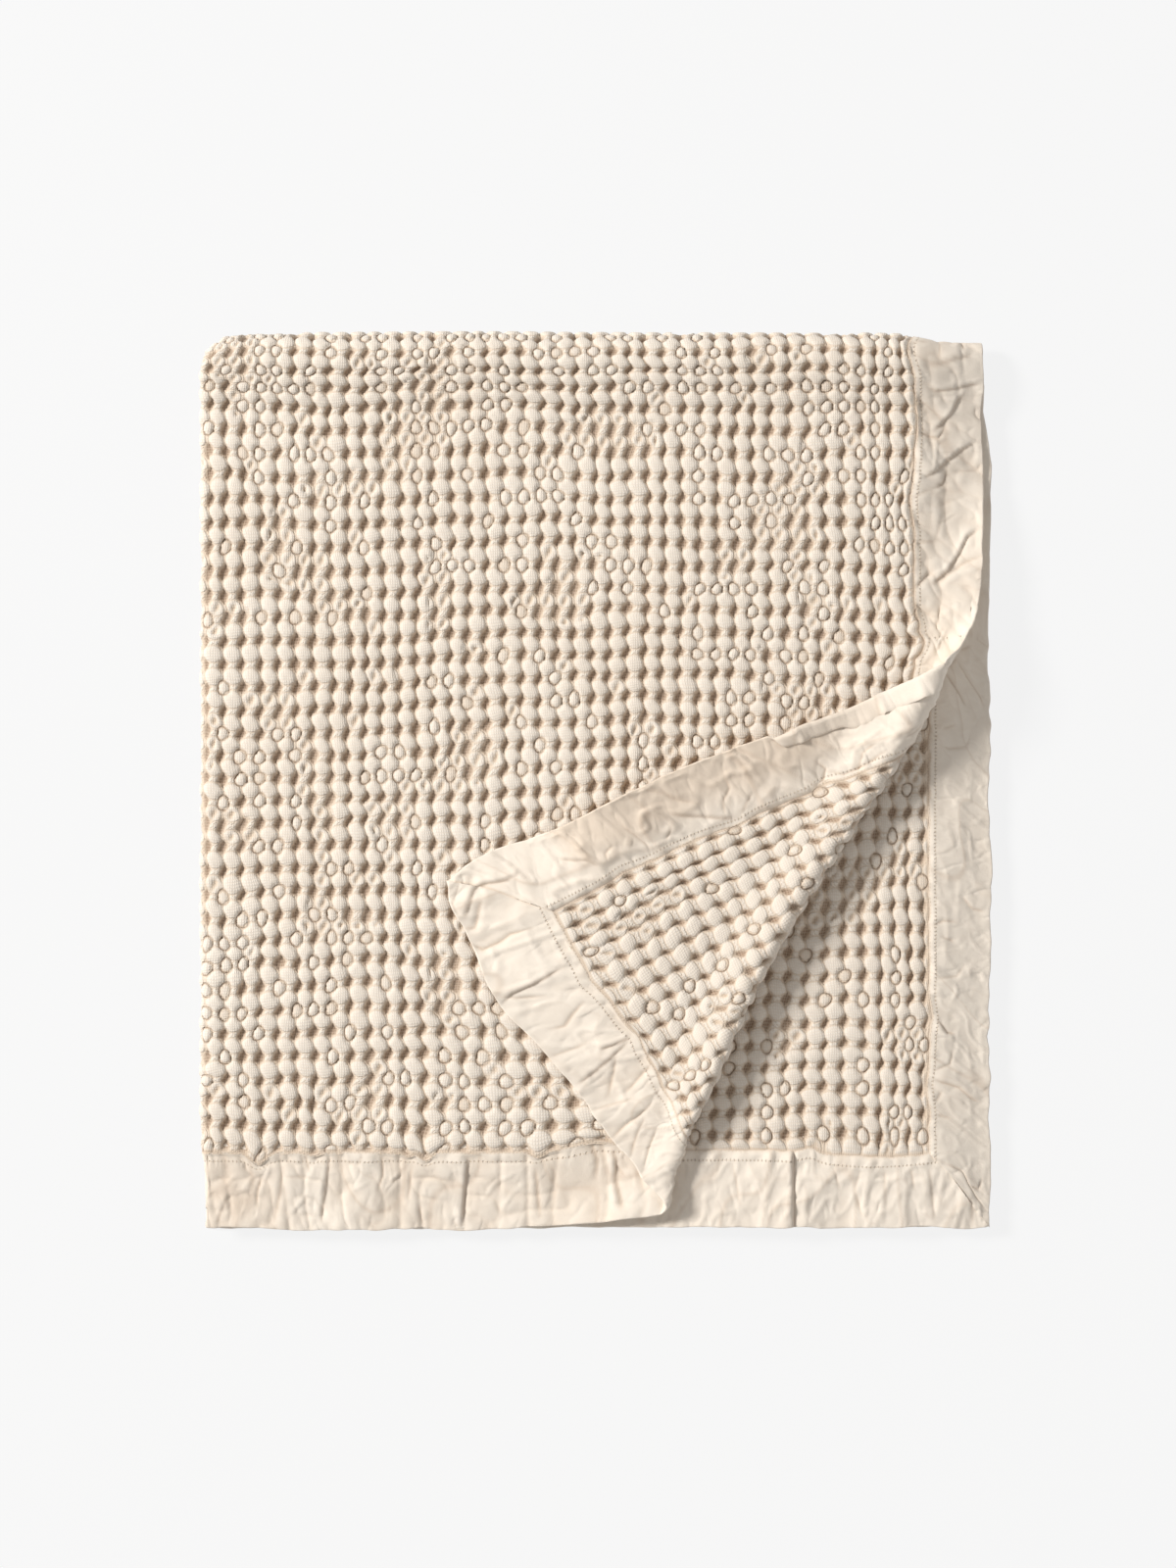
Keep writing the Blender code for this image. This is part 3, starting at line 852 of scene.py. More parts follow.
    def side(
        self, a: Array, b: Array, face: Face, openness: float, shown: float | Array
    ) -> tuple[Array, dict[str, Array], dict[str, Array]]:
        """Shapes one side over a net of cell counts.

        Args:
            a: Cell counts across.
            b: Cell counts along.
            face: Which side of the cloth.
            openness: How wide its cells stand open.
            shown: How far it shows, because a hidden side is left level with its pads.

        Returns:
            The side's points, attributes and UV maps.
        """
        u, v = self.flat(a, b, face)
        keep, shadow = self.press(u, v)
        values = self.relief(a, b, face, openness)
        height = (1.0 + (values["relief"] - 1.0) * shown) * keep
        scale = np.where(height > 0.0, self.pad_height, self.cell_depth)
        lift = face.value * (height * scale + self.wall)
        points = self.cloth.points(u, v) + self.cloth.normals(u, v) * lift[..., None]
        points[..., 2] = np.maximum(points[..., 2], LEAST_HEIGHT)
        uneven = 0.5 + 0.5 * lattice_noise(a * 1.3, b * 1.3, self.seed + 41)
        values["relief"] = height - self.shadow_depth * shadow * uneven
        return points, values, {"cells": np.stack(self.phase(a, b, face), axis=-1)}

    def patch(
        self, name: str, a_lines: Array, b_lines: Array, fine: frozenset[Face], openness: float
    ) -> bpy.types.Object:
        """Weaves one stretch of the panel.

        Args:
            name: The piece's name.
            a_lines: Cell counts across of its net's lines.
            b_lines: Cell counts along of its net's lines.
            fine: The sides that show, which keep every line.
            openness: How wide side B's cells stand open.

        Returns:
            The piece's closed mesh.
        """
        a, b = np.meshgrid(a_lines, b_lines)
        sides = []
        for face in Face:
            wide = 1.0 if face is Face.A else openness
            shown = self.shown(a, b, face) if len(fine) == 2 else float(face in fine)
            points, values, places = self.side(a, b, face, wide, shown)
            rows, columns = (self.lines_kept(lines, face in fine) for lines in (b_lines, a_lines))
            sides.append(ClothSide(points, rows, columns, values, places))
        return closed_sheet(name, *sides)

    @staticmethod
    def lines_kept(lines: Array, every: bool) -> Array:
        """Numbers of the lines that a side keeps: every one, or two for each cell and both ends."""
        halves = 2.0 * lines
        kept = every | (np.abs(halves - np.round(halves)) < 1e-6)
        kept[[0, -1]] = True
        return np.flatnonzero(kept)


@dataclass(frozen=True)
class CreaseShape:
    """What creases have in common, in metres: how they end, and the line of painted shade that each leaves.
    """

    margin: float = 0.004
    step_ends: float = 4.5
    step_run: float = 0.0022
    hollow: float = 0.30
    hollow_at: float = 0.0018
    hollow_width: float = 0.0016
    step_line_at: float = 0.0010
    line_width: float = 0.0012
    step_full_line: float = 0.0018
    fold_ends: float = 4.0
    fold_least: float = 0.35
    trough_full_line: float = 0.0014


CREASE_SHAPE = CreaseShape()


class Bend(Enum):
    """What a crease does to the cloth, seen from the side that it is named on."""

    TROUGH = "trough"
    RIDGE = "ridge"
    STEP = "step"


@dataclass(frozen=True)
class Crease:
    """A crease pressed into the cloth along a few flat places, in metres.

    A step stands high on the left of its path and falls off on the right, and its width is how far
    the high side takes to sink back.
    """

    bend: Bend
    face: Face
    width: float
    height: float
    path: tuple[tuple[float, float], ...]

    @staticmethod
    def from_row(bend: Bend, face: Face, row: tuple[float, ...]) -> Crease:
        """Makes a crease from its row of the table."""
        places = tuple((u / 1000.0, v / 1000.0) for u, v in zip(row[2::2], row[3::2]))
        return Crease(bend, face, row[0] / 10000.0, row[1] / 10000.0, places)

    def press(self, u: Array, v: Array) -> tuple[Array, Array]:
        """Presses the crease at each flat place.

        Returns:
            The height towards side A that it adds, and how deep in its line of painted shade each place
            lies.
        """
        common = CREASE_SHAPE
        reach = 4.0 * self.width + common.margin
        ways = np.array(self.path)
        low, high = ways.min(axis=0) - reach, ways.max(axis=0) + reach
        near = (u > low[0]) & (u < high[0]) & (v > low[1]) & (v < high[1])
        lift, line = np.zeros_like(u), np.zeros_like(u)
        if not near.any():
            return lift, line
        x, y = u[near], v[near]
        best = np.full(x.shape, np.inf)
        signed, share = np.zeros_like(x), np.zeros_like(x)
        spans = np.linalg.norm(np.diff(ways, axis=0), axis=1)
        passed = np.concatenate(([0.0], np.cumsum(spans)))
        for k, span in enumerate(spans):
            way = (ways[k + 1] - ways[k]) / span
            from_x, from_y = x - ways[k, 0], y - ways[k, 1]
            down = np.clip(from_x * way[0] + from_y * way[1], 0.0, span)
            off_x, off_y = from_x - down * way[0], from_y - down * way[1]
            apart = np.hypot(off_x, off_y)
            closer = apart < best
            best = np.where(closer, apart, best)
            left = np.where(off_y * way[0] - off_x * way[1] >= 0.0, 1.0, -1.0)
            signed = np.where(closer, left * apart, signed)
            share = np.where(closer, (passed[k] + down) / passed[-1], share)
        if self.bend is Bend.STEP:
            fade = smooth_step(common.step_ends * share) * smooth_step(common.step_ends * (1.0 - share))
            high_side = smooth_step(0.5 + signed / common.step_run)
            high_side = high_side * np.exp(-np.maximum(signed, 0.0) / self.width)
            hollow = common.hollow * bell(signed + common.hollow_at, common.hollow_width)
            shape = fade * (high_side - hollow)
            # Painted shade: a dark line just below the step's edge.
            dark = bell(signed + common.step_line_at, common.line_width)
            line[near] = fade * dark * min(1.0, self.height / common.step_full_line)
        else:
            fade = smooth_step(common.fold_ends * share) * smooth_step(common.fold_ends * (1.0 - share))
            fade = common.fold_least + (1.0 - common.fold_least) * fade
            shape = fade * bell(best, self.width) * (1.0 if self.bend is Bend.RIDGE else -1.0)
            if self.bend is Bend.TROUGH:
                # Painted shade: a dark line along the trough's floor.
                dark = bell(best, common.line_width)
                line[near] = fade * dark * min(1.0, self.height / common.trough_full_line)
        lift[near] = self.face.value * self.height * shape
        return lift, line


# Creases by what they do and the side they are named on. Each row has its width and height in tenths of
# a millimetre, then its flat places as u, v, u, v and so on, in millimetres.
CREASE_ROWS: dict[tuple[Bend, Face], tuple[tuple[float, ...], ...]] = {
    (Bend.TROUGH, Face.A): (
        (10, 8, 575, 15, 583, 11, 592, 9), (13, 10, 616, 1, 618, 14),
        (10, 13, 579, 84, 588, 86, 597, 88, 604, 78), (15, 7, 633, 107, 628, 113, 611, 115),
        (10, 14, 604, 115, 601, 125, 595, 128), (12, 6, 609, 138, 600, 142),
        (12, 8, 579, 137, 590, 130), (15, 6, 600, 151, 596, 168), (10, 10, 577, 173, 595, 172),
        (15, 11, 633, 183, 619, 188, 605, 199, 597, 207), (20, 15, 577, 211, 588, 200, 593, 196),
        (11, 12, 596, 236, 595, 244), (11, 12, 600, 225, 598, 238), (8, 8, 7, 664, 7, 677),
        (13, 5, 8, 681, 8, 705), (10, 8, 38, 671, 38, 679), (11, 13, 51, 685, 47, 696, 46, 709),
        (22, 10, 68, 677, 65, 699, 60, 721), (11, 10, 86, 665, 89, 679), (11, 8, 131, 667, 127, 675),
        (11, 13, 146, 666, 147, 683, 143, 695), (11, 10, 169, 675, 168, 686, 167, 702),
        (10, 6, 71, 684, 86, 685), (16, 8, 175, 709, 178, 725), (12, 12, 254, 678, 257, 698, 261, 719),
        (12, 8, 261, 672, 266, 686, 268, 710), (12, 14, 284, 658, 286, 670, 288, 677, 288, 693),
        (11, 10, 297, 680, 304, 694),
    ),
    (Bend.STEP, Face.A): (
        (40, 13, 626, 16, 610, 20, 596, 25, 585, 25),
        (50, 16, 633, 37, 623, 38, 609, 43, 595, 46, 585, 44),
        (50, 17, 619, 45, 612, 53, 608, 64, 601, 74, 590, 83),
        (70, 20, 630, 88, 618, 94, 604, 105, 594, 114, 581, 121),
        (70, 26, 632, 158, 620, 167, 614, 180, 605, 194, 594, 204, 588, 208),
        (30, 10, 29, 696, 20, 704, 15, 717, 12, 727), (90, 16, 104, 665, 103, 675, 99, 704, 96, 725),
        (40, 12, 162, 675, 158, 684, 152, 689), (90, 24, 208, 664, 208, 683, 207, 726),
        (60, 24, 295, 666, 297, 678, 298, 698, 303, 716, 306, 724),
    ),
    (Bend.RIDGE, Face.A): (
        (12, 8, 596, 88, 594, 105, 592, 115), (22, 12, 632, 193, 617, 197, 601, 207),
        (13, 10, 608, 245, 599, 253, 595, 258), (10, 8, 30, 683, 20, 694),
        (9, 9, 46, 681, 39, 690, 34, 697), (13, 10, 57, 675, 52, 688, 50, 699),
        (12, 8, 88, 695, 82, 704, 72, 715), (12, 6, 124, 695, 136, 688),
        (12, 9, 163, 670, 162, 680, 154, 686), (11, 8, 245, 679, 236, 685, 228, 691, 222, 704),
        (11, 8, 247, 691, 240, 702, 236, 710),
    ),
    (Bend.STEP, Face.B): (
        (40, 16, -628, 308, -623, 298, -609, 280, -599, 266),
        (50, 16, -580, 604, -591, 608, -604, 612, -615, 620, -628, 626),
        (60, 17, -601, 571, -591, 570, -580, 558), (60, 13, -606, 457, -617, 467, -630, 470),
        (80, 10, -581, 725, -579, 700, -576, 674),
        (60, 22, 598, 728, 601, 720, 607, 713, 613, 708, 615, 702, 612, 692, 611, 685, 612, 673),
        (70, 20, 531, 728, 536, 715, 536, 700, 537, 690, 539, 674),
        (60, 18, 475, 695, 474, 683, 473, 669), (60, 15, 456, 728, 460, 714, 466, 691, 472, 670),
        (50, 16, 607, 548, 598, 533, 589, 512, 584, 494),
        (50, 13, 613, 644, 604, 627, 601, 620, 591, 614), (200, 32, -473, 765, -472.5, 695, -472, 625),
    ),
    (Bend.TROUGH, Face.B): (
        (12, 15, -590, 277, -599, 289, -609, 303), (10, 9, -593, 272, -602, 265),
        (12, 8, -585, 335, -593, 339, -609, 337, -615, 328), (12, 8, -588, 323, -599, 319),
        (12, 8, -605, 259, -615, 255), (16, 12, -580, 482, -589, 478, -601, 479),
        (14, 10, -587, 491, -599, 495), (14, 10, -583, 599, -595, 594, -597, 584),
        (14, 9, -583, 625, -589, 616), (14, 9, -584, 635, -595, 638),
        (16, 8, -582, 525, -601, 523, -608, 515),
        (8, 9, -584, 670, -606, 681, -613, 693, -620, 702, -632, 715),
        (12, 12, -613, 693, -622, 696, -626, 688), (16, 8, -505, 675, -509, 695),
        (16, 9, -525, 677, -521, 697, -527, 717), (16, 8, -544, 675, -544, 708),
        (14, 10, -564, 675, -566, 695), (16, 8, -427, 677, -432, 708), (16, 10, -615, 703, -618, 724),
        (7, 7, 633, 726, 615, 705, 601, 690, 585, 672),
        (20, 15, 606, 704, 596, 713, 589, 719, 592, 728),
        (16, 15, 573, 683, 575, 698, 573, 706, 573, 721, 582, 728),
        (15, 12, 509, 680, 505, 691, 499, 703, 501, 712), (15, 11, 466, 685, 455, 695, 439, 711),
        (15, 11, 448, 662, 442, 680, 436, 697), (18, 10, 631, 556, 620, 542, 612, 536, 602, 520),
        (12, 10, 594, 548, 587, 557), (9, 9, 611, 584, 601, 578, 584, 570),
        (12, 10, 601, 598, 598, 606, 593, 607), (15, 12, 615, 492, 604, 493, 597, 502, 587, 505),
        (15, 10, 594, 478, 584, 493), (12, 15, 600, 421, 589, 415, 580, 421, 578, 431),
        (12, 15, 586, 414, 581, 403, 582, 382, 586, 365), (16, 12, 577, 394, 591, 382, 595, 368),
        (15, 10, 591, 347, 592, 335, 592, 327), (11, 8, 624, 716, 611, 725, 600, 725),
        (16, 10, 538, 725, 531, 714, 524, 698), (18, 9, 483, 728, 482, 711, 482, 697),
        (13, 10, 433, 724, 431, 709, 429, 695), (16, 13, 405, 728, 411, 715, 414, 701, 419, 683),
        (16, 10, 384, 727, 401, 710, 410, 697), (16, 10, 367, 726, 383, 709, 396, 691),
    ),
    (Bend.RIDGE, Face.B): (
        (15, 12, -605, 269, -618, 281), (16, 9, -596, 543, -601, 536, -599, 530),
        (14, 10, -623, 709, -626, 724), (40, 15, 600, 588, 596, 583),
        (18, 12, 580, 398, 595, 386, 600, 372, 604, 359), (16, 12, 595, 334, 597, 347, 591, 360),
    ),
}
CREASES = tuple(Crease.from_row(*kind, row) for kind, rows in CREASE_ROWS.items() for row in rows)


@dataclass(frozen=True)
class Curl:
    """A stretch of free edge that has rolled over on itself: how wide its lip is along the border."""

    places: tuple[float, ...] = (0.280, 0.296, 0.307, 0.348, 0.378, 0.390, 0.427, 0.440, 0.449)
    lips: tuple[float, ...] = (0.0, 0.012, 0.016, 0.015, 0.015, 0.010, 0.011, 0.007, 0.0)
    radius: float = 0.0017
    set_back: float = 0.0055
    start_run: float = 0.012
    end_run: float = 0.010
    droop: float = 0.09

    def lip(self, along: Array) -> Array:
        """Width of the lip at each place along the border."""
        return np.interp(along, self.places, self.lips)

    def share(self, along: Array) -> Array:
        """How far the edge has rolled at each place: 0 for lying flat and 1 for rolled right over."""
        start, end = self.places[0], self.places[-1]
        return smooth_step((along - start) / self.start_run) * smooth_step((end - along) / self.end_run)


@dataclass(frozen=True)
class Flare:
    """A stretch of free edge that stands up off the layer beneath: how far, along the border."""

    places: tuple[float, ...] = (0.350, 0.430, 0.600, 0.662)
    rises: tuple[float, ...] = (0.0, 0.0170, 0.0180, 0.0)

    def rise(self, along: Array, share: Array) -> Array:
        """Height added on side B at places along the border and shares of the way to its free edge."""
        return np.interp(along, self.places, self.rises) * np.clip(share, 0.0, 1.0)


@dataclass(frozen=True)
class Washing:
    """How washing has crumpled the strips: each kind of crease's share, and its sizes in metres."""

    large: float = 0.8
    large_across: float = 0.034
    small: float = 0.65
    small_across: float = 0.015
    tiny: float = 0.50
    tiny_size: tuple[float, float] = (0.011, 0.014)
    tiny_lean: float = 0.4
    swell: float = 0.7
    swell_size: tuple[float, float] = (0.026, 0.030)
    lumps: float = 0.26
    lump_size: tuple[float, float] = (0.0075, 0.0085)
    pucker: float = 0.0012
    pucker_size: tuple[float, float] = (0.0060, 0.04)
    pucker_lean: float = 0.3
    pucker_fade: float = 0.012
    pucker_vary: float = 0.05
    flared: Ramp = Ramp(0.5, 0.33, 0.05)
    calm: Ramp = Ramp(0.85, 0.026, 0.018)
    # Painted shade along the valleys of large and small creases, and a painted shadow line in the gap at the
    # seam's edge.
    large_line: Ramp = Ramp(0.5, 0.80, 0.20)
    small_line: Ramp = Ramp(0.2, 0.78, 0.22)
    edge_line: float = 0.95
    edge_line_at: float = 0.0003
    edge_line_width: float = 0.0009


@dataclass
class Border:
    """One plain strip: doubled cloth folded over the panel's edge, mitred at its ends."""

    cloth: FoldedCloth
    node: str
    is_side: bool
    sign: float
    seed: int
    runs: Sequence[tuple[float, float, float]]
    across_step: float
    fine: set[Face]
    curl: Curl | None = None
    flare: Flare | None = None
    crumple: float = 0.0015
    edge_waver: float = 0.0014
    overlap: float = 0.0020
    seam_thickness: float = 0.0022
    washing: Washing = Washing()
    mitre_reach: float = 0.16
    waver_sizes: tuple[float, float, float] = (0.034, 0.011, 0.0075)
    seam_waver: float = 0.004
    rounding: float = 0.0012
    seam_swell: float = 0.006
    lip_least: float = 0.62
    lip_run: float = 0.0014
    seam_run: float = 0.004
    edge_thickness: float = 0.00005
    curled_lines: int = 18
    level_lines: int = 4

    @property
    def name(self) -> str:
        """The name of the strip's piece, after its node."""
        return f"{self.node}_cloth"

    @property
    def stitch_line(self) -> float:
        """Distance from the seam of its row of stitches."""
        return 0.0028 if self.is_side else 0.0062

    @property
    def width(self) -> float:
        """The strip's finished width."""
        return self.cloth.sheet.side_border if self.is_side else self.cloth.sheet.end_border

    def flat(self, along: Array, across: Array) -> tuple[Array, Array]:
        """Flat cloth places of places along the strip and in from its seam."""
        sheet = self.cloth.sheet
        if self.is_side:
            return self.sign * (sheet.side_seam + across), along
        return along, self.sign * (sheet.end_seam + across)

    def half_span(self, across: Array) -> Array:
        """Half of the strip's length at each distance from its seam, between its mitres."""
        sheet = self.cloth.sheet
        share = across / self.width
        if self.is_side:
            return sheet.end_seam + share * sheet.end_border
        return sheet.side_seam + share * sheet.side_border

    def mitred(self, places: Array, across: Array) -> Array:
        """Draws the strip's last stretch in to meet its mitre."""
        sheet = self.cloth.sheet
        longest = sheet.half_length if self.is_side else sheet.half_width
        inner = longest - self.mitre_reach
        extra = np.clip((np.abs(places) - inner) / (longest - inner), 0.0, 1.0)
        drawn = np.minimum(np.abs(places), inner) + extra * (self.half_span(across) - inner)
        return np.sign(places) * drawn

    def wavered(self, along: Array, across: Array) -> Array:
        """Distances from the seam after the free edge has wandered in and out."""
        slow, quick, close = self.waver_sizes
        wave = lattice_noise(along / slow, across * 0.0, self.seed + 7)
        wave = wave + 0.5 * lattice_noise(along / quick, across * 0.0, self.seed + 8)
        nudge = lattice_noise(along / close, across * 0.0, self.seed + 9)
        nudge = nudge * np.exp(-np.maximum(across + self.overlap, 0.0) / self.seam_waver)
        return across + self.edge_waver * (wave * np.clip(across / self.width, 0.0, 1.0) ** 2 + 0.5 * nudge)

    def crumpled(self, along: Array, across: Array) -> tuple[Array, Array]:
        """Crumples the washed cloth, puckers it beside its seam and presses its main creases.

        Returns:
            The height added towards side A, and how deep in a line of painted shade each place lies, along a
            crease or the seam's gap.
        """
        wash = self.washing
        lean, length = (0.7, 0.045) if self.is_side else (0.10, 0.080)
        x, y = along - lean * across, across
        large = ridged(x / wash.large_across, y / length + 7.0, self.seed, 1.5)
        small = ridged(x / wash.small_across + 20.0, y / (0.5 * length), self.seed + 1, 1.3)
        tiny_x = (along - wash.tiny_lean * across) / wash.tiny_size[0]
        tiny = ridged(tiny_x + 40.0, across / wash.tiny_size[1], self.seed + 6, 1.2)
        swell = lattice_noise(x / wash.swell_size[0], y / wash.swell_size[1], self.seed + 2)
        lumps_x = along / wash.lump_size[0] + 9.0
        lumps = lattice_noise(lumps_x, across / wash.lump_size[1], self.seed + 10)
        pucker_x = (along - wash.pucker_lean * across) / wash.pucker_size[0]
        pucker = lattice_noise(pucker_x, across / wash.pucker_size[1], self.seed + 4)
        strength = 0.7 + 0.3 * lattice_noise(along / wash.pucker_vary, across * 0.0, self.seed + 5)
        stretch = 1.0 + wash.flared.at(along) if self.flare else 1.0
        if self.curl:
            calm = 1.0 - self.curl.share(along) * wash.calm.at(across)
            lumps, tiny, small = lumps * calm, tiny * calm, small * calm
        risen = wash.swell * swell + wash.lumps * lumps
        fallen = wash.large * large + wash.small * small + wash.tiny * tiny
        lift = stretch * self.crumple * (risen - fallen)
        lift = lift + wash.pucker * strength * pucker * np.exp(-np.maximum(across, 0.0) / wash.pucker_fade)
        # Painted shade in crease valleys, and a painted shadow line in the gap at the seam's edge.
        line = wash.large_line.at(large) + wash.small_line.at(small)
        at_edge = bell(across + self.overlap - wash.edge_line_at, wash.edge_line_width)
        line = np.maximum(line, wash.edge_line * at_edge)
        if self.flare:
            lift = lift - self.flare.rise(along, across / self.width)
        u, v = self.flat(along, across)
        for crease in CREASES:
            pressed, dark = crease.press(u, v)
            lift, line = lift + pressed, np.maximum(line, dark)
        return lift, line

    def settled(self, along: Array, across: Array) -> tuple[Array, Array]:
        """The crumple and its lines of painted shade, with the height let down to none at the seam's edge.
        """
        lift, line = self.crumpled(along, across)
        return lift * smooth_step((across + self.overlap) / self.seam_run), line

    def half_thickness(self, across: Array) -> Array:
        """Half of the strip's thickness: rounded at its free edge and fuller at its seam."""
        thin = self.cloth.sheet.border_thickness
        to_edge = np.clip((self.width - across) / self.rounding, 0.0, 1.0)
        edge = np.sqrt(np.clip(1.0 - (1.0 - to_edge) ** 2, 0.0, 1.0))
        near_seam = smooth_step(1.0 - (across + self.overlap) / self.seam_swell)
        full = smooth_step((across + self.overlap) / self.lip_run)
        lip = self.lip_least + (1.0 - self.lip_least) * full
        half = 0.5 * (thin + (self.seam_thickness - thin) * near_seam) * lip
        return np.maximum(half * edge, self.edge_thickness)

    def rolled(self, middle: Array, along: Array, across: Array) -> Array:
        """Rolls the free edge over where the curl has it, on side B."""
        curl = self.curl
        start = self.width - curl.set_back
        column = int(np.searchsorted(across[0], start - 1e-7))
        inner, edge = middle[:, column - 1], middle[:, column]
        out = edge - inner
        out /= np.linalg.norm(out, axis=-1, keepdims=True)
        along_edge = np.gradient(edge, axis=0)
        along_edge /= np.linalg.norm(along_edge, axis=-1, keepdims=True)
        up = np.cross(along_edge, out)
        up = np.where(up[:, 2:3] < 0.0, -up, up)
        lip, share = curl.lip(along[:, column]), curl.share(along[:, column])
        turn = math.pi * curl.radius
        total = turn + lip
        beyond = (across[:, column:] - across[:, column : column + 1]) / (self.width - across[0, column])
        arc = beyond * total[:, None]
        angle = np.minimum(arc, turn) / curl.radius
        back = np.maximum(arc - turn, 0.0)
        outward = curl.radius * np.sin(angle) - back
        height = curl.radius * (1.0 - np.cos(angle)) - curl.droop * back
        rolled = edge[:, None] + outward[..., None] * out[:, None] + height[..., None] * up[:, None]
        weight = share[:, None, None]
        middle = middle.copy()
        middle[:, column:] += weight * (rolled - middle[:, column:])
        return middle

    def laid(self, values: Array) -> Array:
        """Turns values listed along and then across the strip to run with v and then u."""
        if self.is_side:
            return values if self.sign > 0.0 else values[:, ::-1]
        values = np.swapaxes(values, 0, 1)
        return values if self.sign > 0.0 else values[::-1]

    def lines_across(self) -> Array:
        """Distances from the seam of the net's lines, closer together at the free edge."""
        last = self.curl.set_back if self.curl else self.rounding
        count = max(8, round((self.width + self.overlap) / self.across_step))
        inner = np.linspace(-self.overlap, self.width - last, count)
        count = self.curled_lines if self.curl else self.level_lines
        outer = self.width - last * np.linspace(1.0, 0.0, count)
        return np.concatenate((inner[:-1], outer))

    def build(self) -> bpy.types.Object:
        """Makes the strip's closed mesh."""
        across_lines = self.lines_across()
        runs = [np.arange(start, end, step) for start, end, step in self.runs]
        places = np.unique(np.concatenate(runs + [[self.runs[-1][1]]]).round(7))
        across, places = np.meshgrid(across_lines, places)
        along = self.mitred(places, across)
        u, v = self.flat(along, self.wavered(along, across))
        lift, line = self.settled(along, across)
        middle = self.cloth.points(u, v) + self.cloth.normals(u, v) * lift[..., None]
        if self.curl:
            middle = self.rolled(middle, along, across)
        normal = np.cross(np.gradient(middle, axis=0), np.gradient(middle, axis=1))
        normal /= np.maximum(np.linalg.norm(normal, axis=-1, keepdims=True), TINY)
        if self.is_side != (self.sign > 0.0):
            normal = -normal
        offset = normal * self.half_thickness(across)[..., None]
        place = np.stack((along, across), axis=-1)
        sides = []
        for face in Face:
            points = middle + face.value * offset
            points[..., 2] = np.maximum(points[..., 2], LEAST_HEIGHT)
            from_stitches = (across - self.stitch_line) * 1000.0
            points, lifts, lines, from_stitches, places = (
                self.laid(x) for x in (points, face.value * lift * 1000.0, line, from_stitches, place)
            )
            rows, columns = (np.arange(size) for size in points.shape[:2])
            if face not in self.fine:
                rows, columns = (np.unique(np.append(x[::3], x[-1])) for x in (rows, columns))
            # crease holds the lines of painted shade along creases and the seam's gap.
            values = {"lift": lifts, "crease": np.minimum(lines, 1.0), "stitch": from_stitches}
            sides.append(ClothSide(points, rows, columns, values, {"weave": places}))
        return closed_sheet(self.name, *sides)


Socket = bpy.types.NodeSocket
Source = Socket | float | tuple[float, ...]


class NodeTree:
    """Shorthand for wiring a shader or geometry tree."""

    def __init__(self, tree: bpy.types.NodeTree) -> None:
        """Keeps the tree to wire."""
        self.tree = tree

    def add(
        self, kind: str, inputs: dict[str | int, Source] | None = None, **settings: object
    ) -> bpy.types.Node:
        """Adds a node of a kind with its settings, and feeds its inputs."""
        node = self.tree.nodes.new(kind)
        for key, value in settings.items():
            setattr(node, key, value)
        for key, source in (inputs or {}).items():
            self.feed(source, node.inputs[key])
        return node

    def feed(self, source: Source, target: Socket) -> None:
        """Links a socket to a target, or sets the target to a constant."""
        if isinstance(source, Socket):
            self.tree.links.new(source, target)
        else:
            target.default_value = source

    def math(self, operation: str, *values: Source) -> Socket:
        """One Math node on up to three values."""
        return self.add("ShaderNodeMath", dict(enumerate(values)), operation=operation).outputs[0]

    def times(self, *values: Source) -> Socket:
        """One value times another."""
        return self.math("MULTIPLY", *values)

    def size(self, value: Source) -> Socket:
        """A value without its sign."""
        return self.math("ABSOLUTE", value)

    def mix(self, share: Source, first: Source, second: Source, blend: str = "MIX") -> Socket:
        """Mixes two colours by a share."""
        inputs = {0: share, 6: first, 7: second}
        return self.add("ShaderNodeMix", inputs, data_type="RGBA", blend_type=blend).outputs[2]

    def band(self, value: Source, *ends: float) -> Socket:
        """Maps the first end to the second onto the third to the fourth, or 0 to 1, smoothly and clamped."""
        inputs = dict(enumerate((value, *ends)))
        return self.add("ShaderNodeMapRange", inputs, interpolation_type="SMOOTHSTEP").outputs[0]


def shader_group(name: str, inputs: dict[str, tuple[str, object]], outputs: dict[str, str]) -> tuple:
    """Starts a shader node group.

    Args:
        name: The group's name.
        inputs: Each input's socket type and default.
        outputs: Each output's socket type.

    Returns:
        The group, a wiring helper for it, its input node and its output node.
    """
    group = bpy.data.node_groups.new(name, "ShaderNodeTree")
    for label, (kind, default) in inputs.items():
        socket = group.interface.new_socket(label, in_out="INPUT", socket_type=kind)
        if default is not None:
            socket.default_value = default
    for label, kind in outputs.items():
        group.interface.new_socket(label, in_out="OUTPUT", socket_type=kind)
    wire = NodeTree(group)
    return group, wire, wire.add("NodeGroupInput"), wire.add("NodeGroupOutput")


